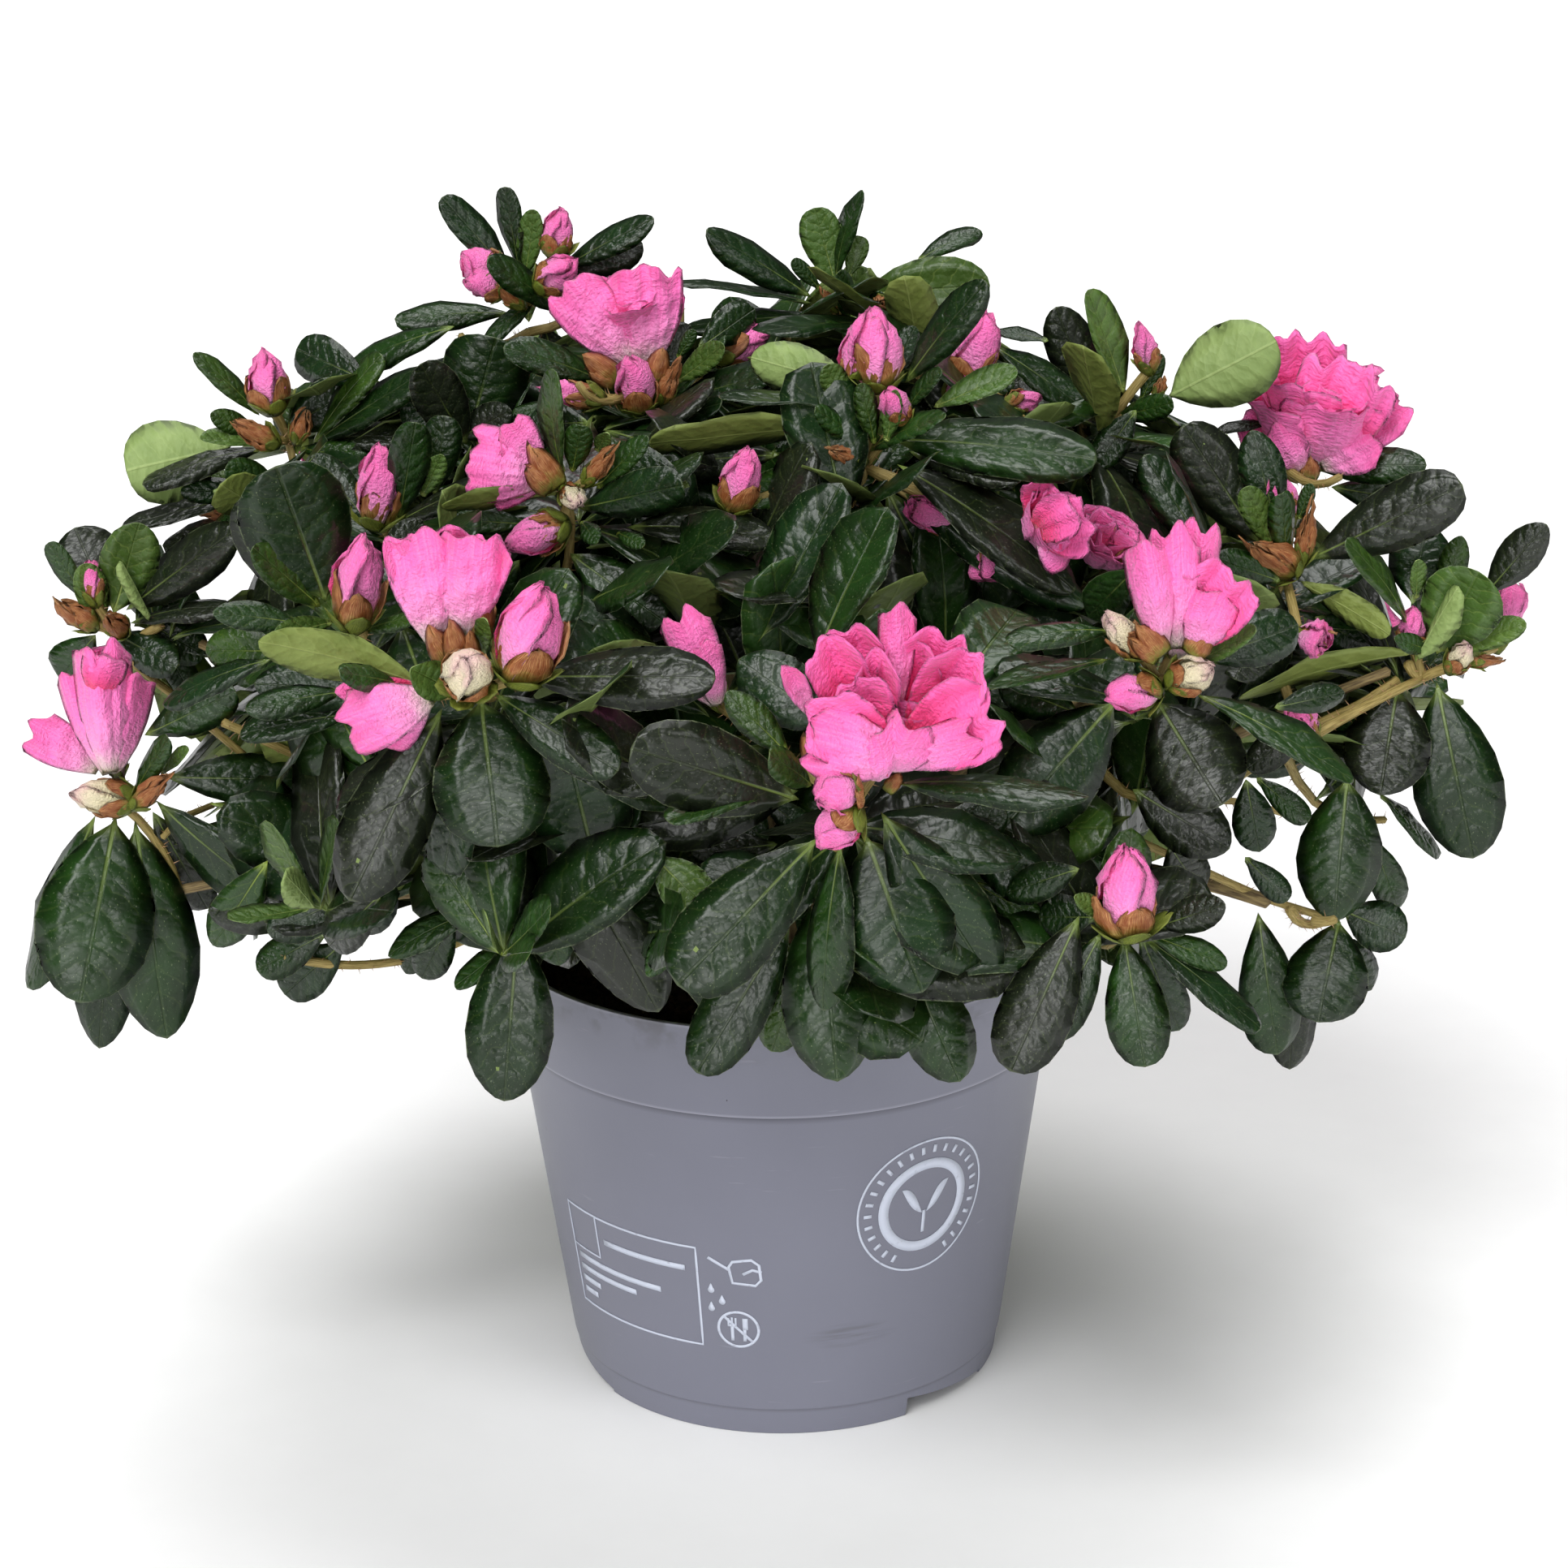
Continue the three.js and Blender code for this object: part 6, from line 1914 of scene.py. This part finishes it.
def bristle_twigs(twigs, material):
    """Short flat hairs on the twigs, with fixed seeds."""
    hair = bpy.data.meshes.new("hair")
    hair.from_pydata([(0.09, 0, 0), (-0.045, 0.078, 0), (-0.045, -0.078, 0), (0.25, 0, 1)], [],
                     [(0, 2, 1), (0, 1, 3), (1, 2, 3), (2, 0, 3)])
    spike = new_object("hair", hair)

    def place(tree, given):
        points = add(tree, "GeometryNodeDistributePointsOnFaces", {
            "Mesh": given["Geometry"], "Density": given["Hairs per square metre"], "Seed": 8})
        size = add(tree, "FunctionNodeRandomValue", {
            2: given["Shortest"], 3: given["Longest"], "Seed": 4}, data_type="FLOAT")
        return add(tree, "GeometryNodeInstanceOnPoints", {
            "Points": points.outputs["Points"], "Rotation": points.outputs["Rotation"],
            "Instance": add(tree, "GeometryNodeObjectInfo", {0: spike}).outputs["Geometry"],
            "Scale": size.outputs["Value"]})

    piece = strew("twig_hairs", twigs, HAIR_SIZES, material, place)
    bpy.data.objects.remove(spike)
    return piece


# ---------------------------------------------------------------- studio

# Large far softboxes: bearing, height above the horizon and spread in degrees, and strength.
LAMPS = [
    ("key", -28, 50, 36, 2.5), ("fill", 52, 30, 30, 0.6), ("front", -8, 9, 26, 1.0),
    ("top", 170, 68, 40, 1.9),
]
LAMP_DISTANCE = 2.0  # metres
AMBIENT_STRENGTH = 0.06
FLOOR_HALF_WIDTH = 6.0  # metres


def standing(across, up, back, place):
    """The matrix of a camera or a lamp that looks away from back."""
    return Matrix([[across[i], up[i], back[i], place[i]] for i in range(3)] + [[0, 0, 0, 1]])


def make_camera():
    camera = new_object("camera", bpy.data.cameras.new("camera"))
    camera.data.sensor_width = SENSOR
    camera.data.lens = SENSOR * FOCAL / FRAME_SIDE
    camera.data.clip_start, camera.data.clip_end = 0.05, 50.0
    camera.matrix_world = standing(RIGHT, UP, BACK, EYE * MM)
    bpy.context.scene.camera = camera


def make_floor():
    """The white paper that the pot stands on."""
    mesh = bpy.data.meshes.new("floor")
    half = FLOOR_HALF_WIDTH
    mesh.from_pydata([(-half, -half, 0), (half, -half, 0), (half, half, 0), (-half, half, 0)],
                     [], [(0, 1, 2, 3)])
    paper, tree, shader = new_material("white_background_paper", {"Roughness": 0.9})
    grain = add(tree, "TexNoise", {
        "Vector": add(tree, "TexCoord").outputs["Object"], "Scale": 60.0, "Detail": 3.0})
    colour = add(tree, "Mix", {0: grain, 6: "#F6F6F6", 7: "#FAFAFA"}, data_type="RGBA")
    surface(tree, shader, colour)
    mesh.materials.append(paper)
    floor = new_object("floor", mesh)
    floor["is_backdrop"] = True


def make_lights():
    """The softboxes, and a faint white world."""
    world = bpy.data.worlds.new("studio")
    world.use_nodes = True
    background = world.node_tree.nodes["Background"]
    background.inputs[0].default_value = (1, 1, 1, 1)
    background.inputs[1].default_value = AMBIENT_STRENGTH
    bpy.context.scene.world = world
    for name, bearing, height, spread, strength in LAMPS:
        lamp = new_object(name, bpy.data.lights.new(name, "SUN"))
        lamp.data.energy, lamp.data.angle = strength, math.radians(spread)
        rise = math.radians(height)
        away = outward(bearing) * math.cos(rise) + [0, 0, math.sin(rise)]
        side = unit(np.cross([0, 0, 1.0], away))
        lamp.matrix_world = standing(side, np.cross(away, side), away, away * LAMP_DISTANCE)


# ---------------------------------------------------------------- the plant in its pot

FRONT_SPRAY_SIZE = 0.9  # grown leaves of the front's sprays, over the others
LEAVES_BEHIND, TWIG_BEHIND = 4.0, 2.0  # how far behind a front spray's head they stand
INNER_AXIS = np.array([0, -0.6, 0.8])  # the way of the twigs that bear the single inner leaves

PINK_OUTER = [
    (0.0, "#D9E2A6"), (0.10, "#F6D6D9"), (0.28, "#FD98D2"), (0.60, "#FD78C2"), (1.0, "#FC62AE")]
# the inner side's deep coral low down is partly the throat's own colour, partly painted light
# bounced in the hollow
PINK_INNER = [
    (0.0, "#E6E9B4"), (0.08, "#F9B6C2"), (0.2, "#F2386C"), (0.45, "#FA4E94"), (0.7, "#FD66B2"),
    (1.0, "#FE74BE")]
PALE = [(0.0, "#B9C070"), (0.3, "#DDD6A6"), (0.7, "#E6D8B8"), (1.0, "#E9B9BC")]


def leaf_finishes():
    """Each tone's upper and lower side."""
    return {
        "deep": [
            leaf_upper("waxy_leaf_deep", ["#122A0B", "#142D11", "#1D2117", "#1C3A10", "#0D1A08"],
                       "#6F8240", 0.08, 0.31, 0.12),
            leaf_lower("leaf_underside_olive", "#57692F", "#7D8F50")],
        "green": [
            leaf_upper("waxy_leaf_green", ["#223F12", "#244417", "#314B16", "#1F3B15", "#162C0D"],
                       "#84963F", 0.12, 0.34, 0.1),
            leaf_lower("leaf_underside_green", "#5F6F2A", "#85924D")],
        "young": [
            leaf_upper("young_leaf", ["#48652A", "#53702E", "#435C22", "#5D7834", "#37511C"],
                       "#97A758", 0.22, 0.4, 0.15),
            leaf_lower("leaf_underside_pale", "#6E8646", "#95A968")],
    }


def flower_clusters():
    """The flowers' parts, each with a finish for its outer and one for its inner side."""
    petal = [petal_skin("petal_outer_side", PINK_OUTER, "#FDA6DA", 0.2),
             petal_skin("petal_inner_side", PINK_INNER, "#F93F86", 0.2)]
    pale = [petal_skin("unripe_petal_outer_side", PALE, "#F0E6CC", 0.1),
            petal_skin("unripe_petal_inner_side", PALE, "#F0E6CC", 0.1)]
    scale = [papery_scale("papery_scale_outer_side", "#85451F", "#CB9660", 0.9),
             papery_scale("papery_scale_inner_side", "#96592C", "#D2A878", 0.9)]
    calyx = [papery_scale("calyx_outer_side", "#5F6B1E", "#8F9A3C"),
             papery_scale("calyx_inner_side", "#6B7726", "#A3AD50")]
    return {part: Cluster(name, finish, ("OFBake",)) for part, name, finish in (
        ("petals", "petals", petal), ("bud_petals", "bud_petals", petal),
        ("pale_petals", "unripe_petals", pale), ("scales", "bud_scales", scale),
        ("calyx", "calyx_lobes", calyx))}


def set_front_sprays(foliage, twigs, rng, boughs_at):
    """The sprays that face the front, with the leaves behind them. Gives their heads and axes."""
    heads = []
    for right, down, y, leaves in SPRAYS.values():
        head = seen(right, down, y)
        axis = spray_axis(head)
        heads.append((head, axis))
        for leaf in leaves:
            place_front_leaf(foliage, rng, y, axis, leaf)
        grow_spray(foliage, rng, head - axis * LEAVES_BEHIND, axis, FRONT_SPRAY_SIZE,
                   from_behind=True)
        grow_twig(twigs, rng, boughs_at, head - axis * TWIG_BEHIND, axis)
    return heads


def grow_crown(foliage, twigs, rng, boughs_at):
    """The sprays of the sides and back, and the leaves between. Gives their heads and axes."""
    heads = grown_heads(rng)
    for head, axis in heads:
        grow_spray(foliage, rng, head, axis)
        grow_twig(twigs, rng, boughs_at, head, axis)
    fill_crown(foliage, rng)
    inner_rng = np.random.default_rng(SEED + 7)
    for depth, leaf in INNER_LEAVES:
        place_front_leaf(foliage, inner_rng, depth, INNER_AXIS, leaf)
    return heads


def lay_shown_twigs(twigs, rng):
    """The bare twigs that show, smoothed through their places."""
    for line, radius in SHOWN_TWIGS:
        places = np.array([seen(*place) for place in line])
        smooth = np.array([along_line(places, s) for s in np.linspace(0, 1, SHOWN_TWIG_POINTS)])
        for _ in range(SHOWN_TWIG_ROUNDS):
            smooth[1:-1] = (smooth[:-2] + 2 * smooth[1:-1] + smooth[2:]) / 4
        twigs.add(*tube(smooth, np.full(len(smooth), radius), SHOWN_TWIG_SIDES, rng, 0.1))


def set_front_flowers(parts, rng, front_heads):
    """The blooms, buds, petals and scales of the front. Gives the two ends of each stalk."""
    stalks = []
    for maker, rows in ((make_bloom, BLOOMS), (make_bud, BUDS)):
        for row in rows:
            foot = place_front_flower(parts, rng, maker, row)
            head, axis = min(front_heads, key=lambda h: np.linalg.norm(h[0] - foot))
            stalks.append((head - axis * TWIG_BEHIND, foot))
    for row in LAID_PETALS:
        lay_petal(parts["petals"], rng, row)
    for row in LAID_SCALES:
        lay_petal(parts["scales"], rng, row, pointed=True)
    return stalks


def grow_stalks(twigs, rng, stalks):
    """A short stalk from its spray's twig to each flower that stands off it."""
    for start, end in stalks:
        if np.linalg.norm(end - start) > SHORTEST_STALK:
            middle = (start + end) / 2 + [0, 0, 1]
            line = bend(start, middle, end, STALK_POINTS)
            radii = np.linspace(*STALK_RADII, STALK_POINTS)
            twigs.add(*tube(line, radii, TWIG_SIDES, rng, 0.05))


bpy.context.scene.view_settings.view_transform = "Standard"
make_camera()
make_floor()
make_lights()
rng = np.random.default_rng(SEED)
boughs_at = bough_lines()
stem, boughs = grow_limbs(bark_skin("azalea_bark", "#4A3A26", "#8C7A50", 1.6, 0.8), boughs_at, rng)
twigs = Cluster("twigs", [bark_skin("green_twig", "#7A6A34", "#A8945A", 2.2, 0.6)], ("Limb",))
foliage = Foliage(leaf_finishes())
front_heads = set_front_sprays(foliage, twigs, rng, boughs_at)
grown = grow_crown(foliage, twigs, rng, boughs_at)
lay_shown_twigs(twigs, rng)
flower_parts = flower_clusters()
stalks = set_front_flowers(flower_parts, rng, front_heads)
grow_flowers(flower_parts, stalks, rng, grown)
grow_stalks(twigs, rng, stalks)

twig_piece = twigs.make()
hairs = bristle_twigs(twig_piece, papery_scale("twig_hair", "#8A5A30", "#C9B28A"))
pot = make_pot(moulded_polypropylene())
marks = print_marks(printing_ink())
substrate = make_substrate(peat_substrate("peat_substrate", "#0B0705", "#2A1B12"))
crumbs = scatter_crumbs(substrate, peat_substrate("peat_crumb", "#140C08", "#38251A"))

# ---------------------------------------------------------------- what each piece stands for

nodes = sorted(frame["nodes"])
for (tier, tone), cluster in foliage.clusters.items():
    piece = cluster.make()
    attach(piece, "root")
    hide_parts(*[n for n in nodes if n.startswith(f"foliage_{tier}_")])
for cluster in flower_parts.values():
    piece = cluster.make()
    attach(piece, "root")
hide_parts("stem")
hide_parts(*[n for n in nodes if n.startswith("bough_")])
for piece in (stem, boughs, twig_piece, hairs):
    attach(piece, "root")
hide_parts("pot")
for piece in (pot, marks):
    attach(piece, "root")
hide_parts("root_ball")
for piece in (substrate, crumbs):
    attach(piece, "root")

print("leaves", foliage.count, "triangles", sum(
    len(p.vertices) - 2 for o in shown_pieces() for p in o.data.polygons))
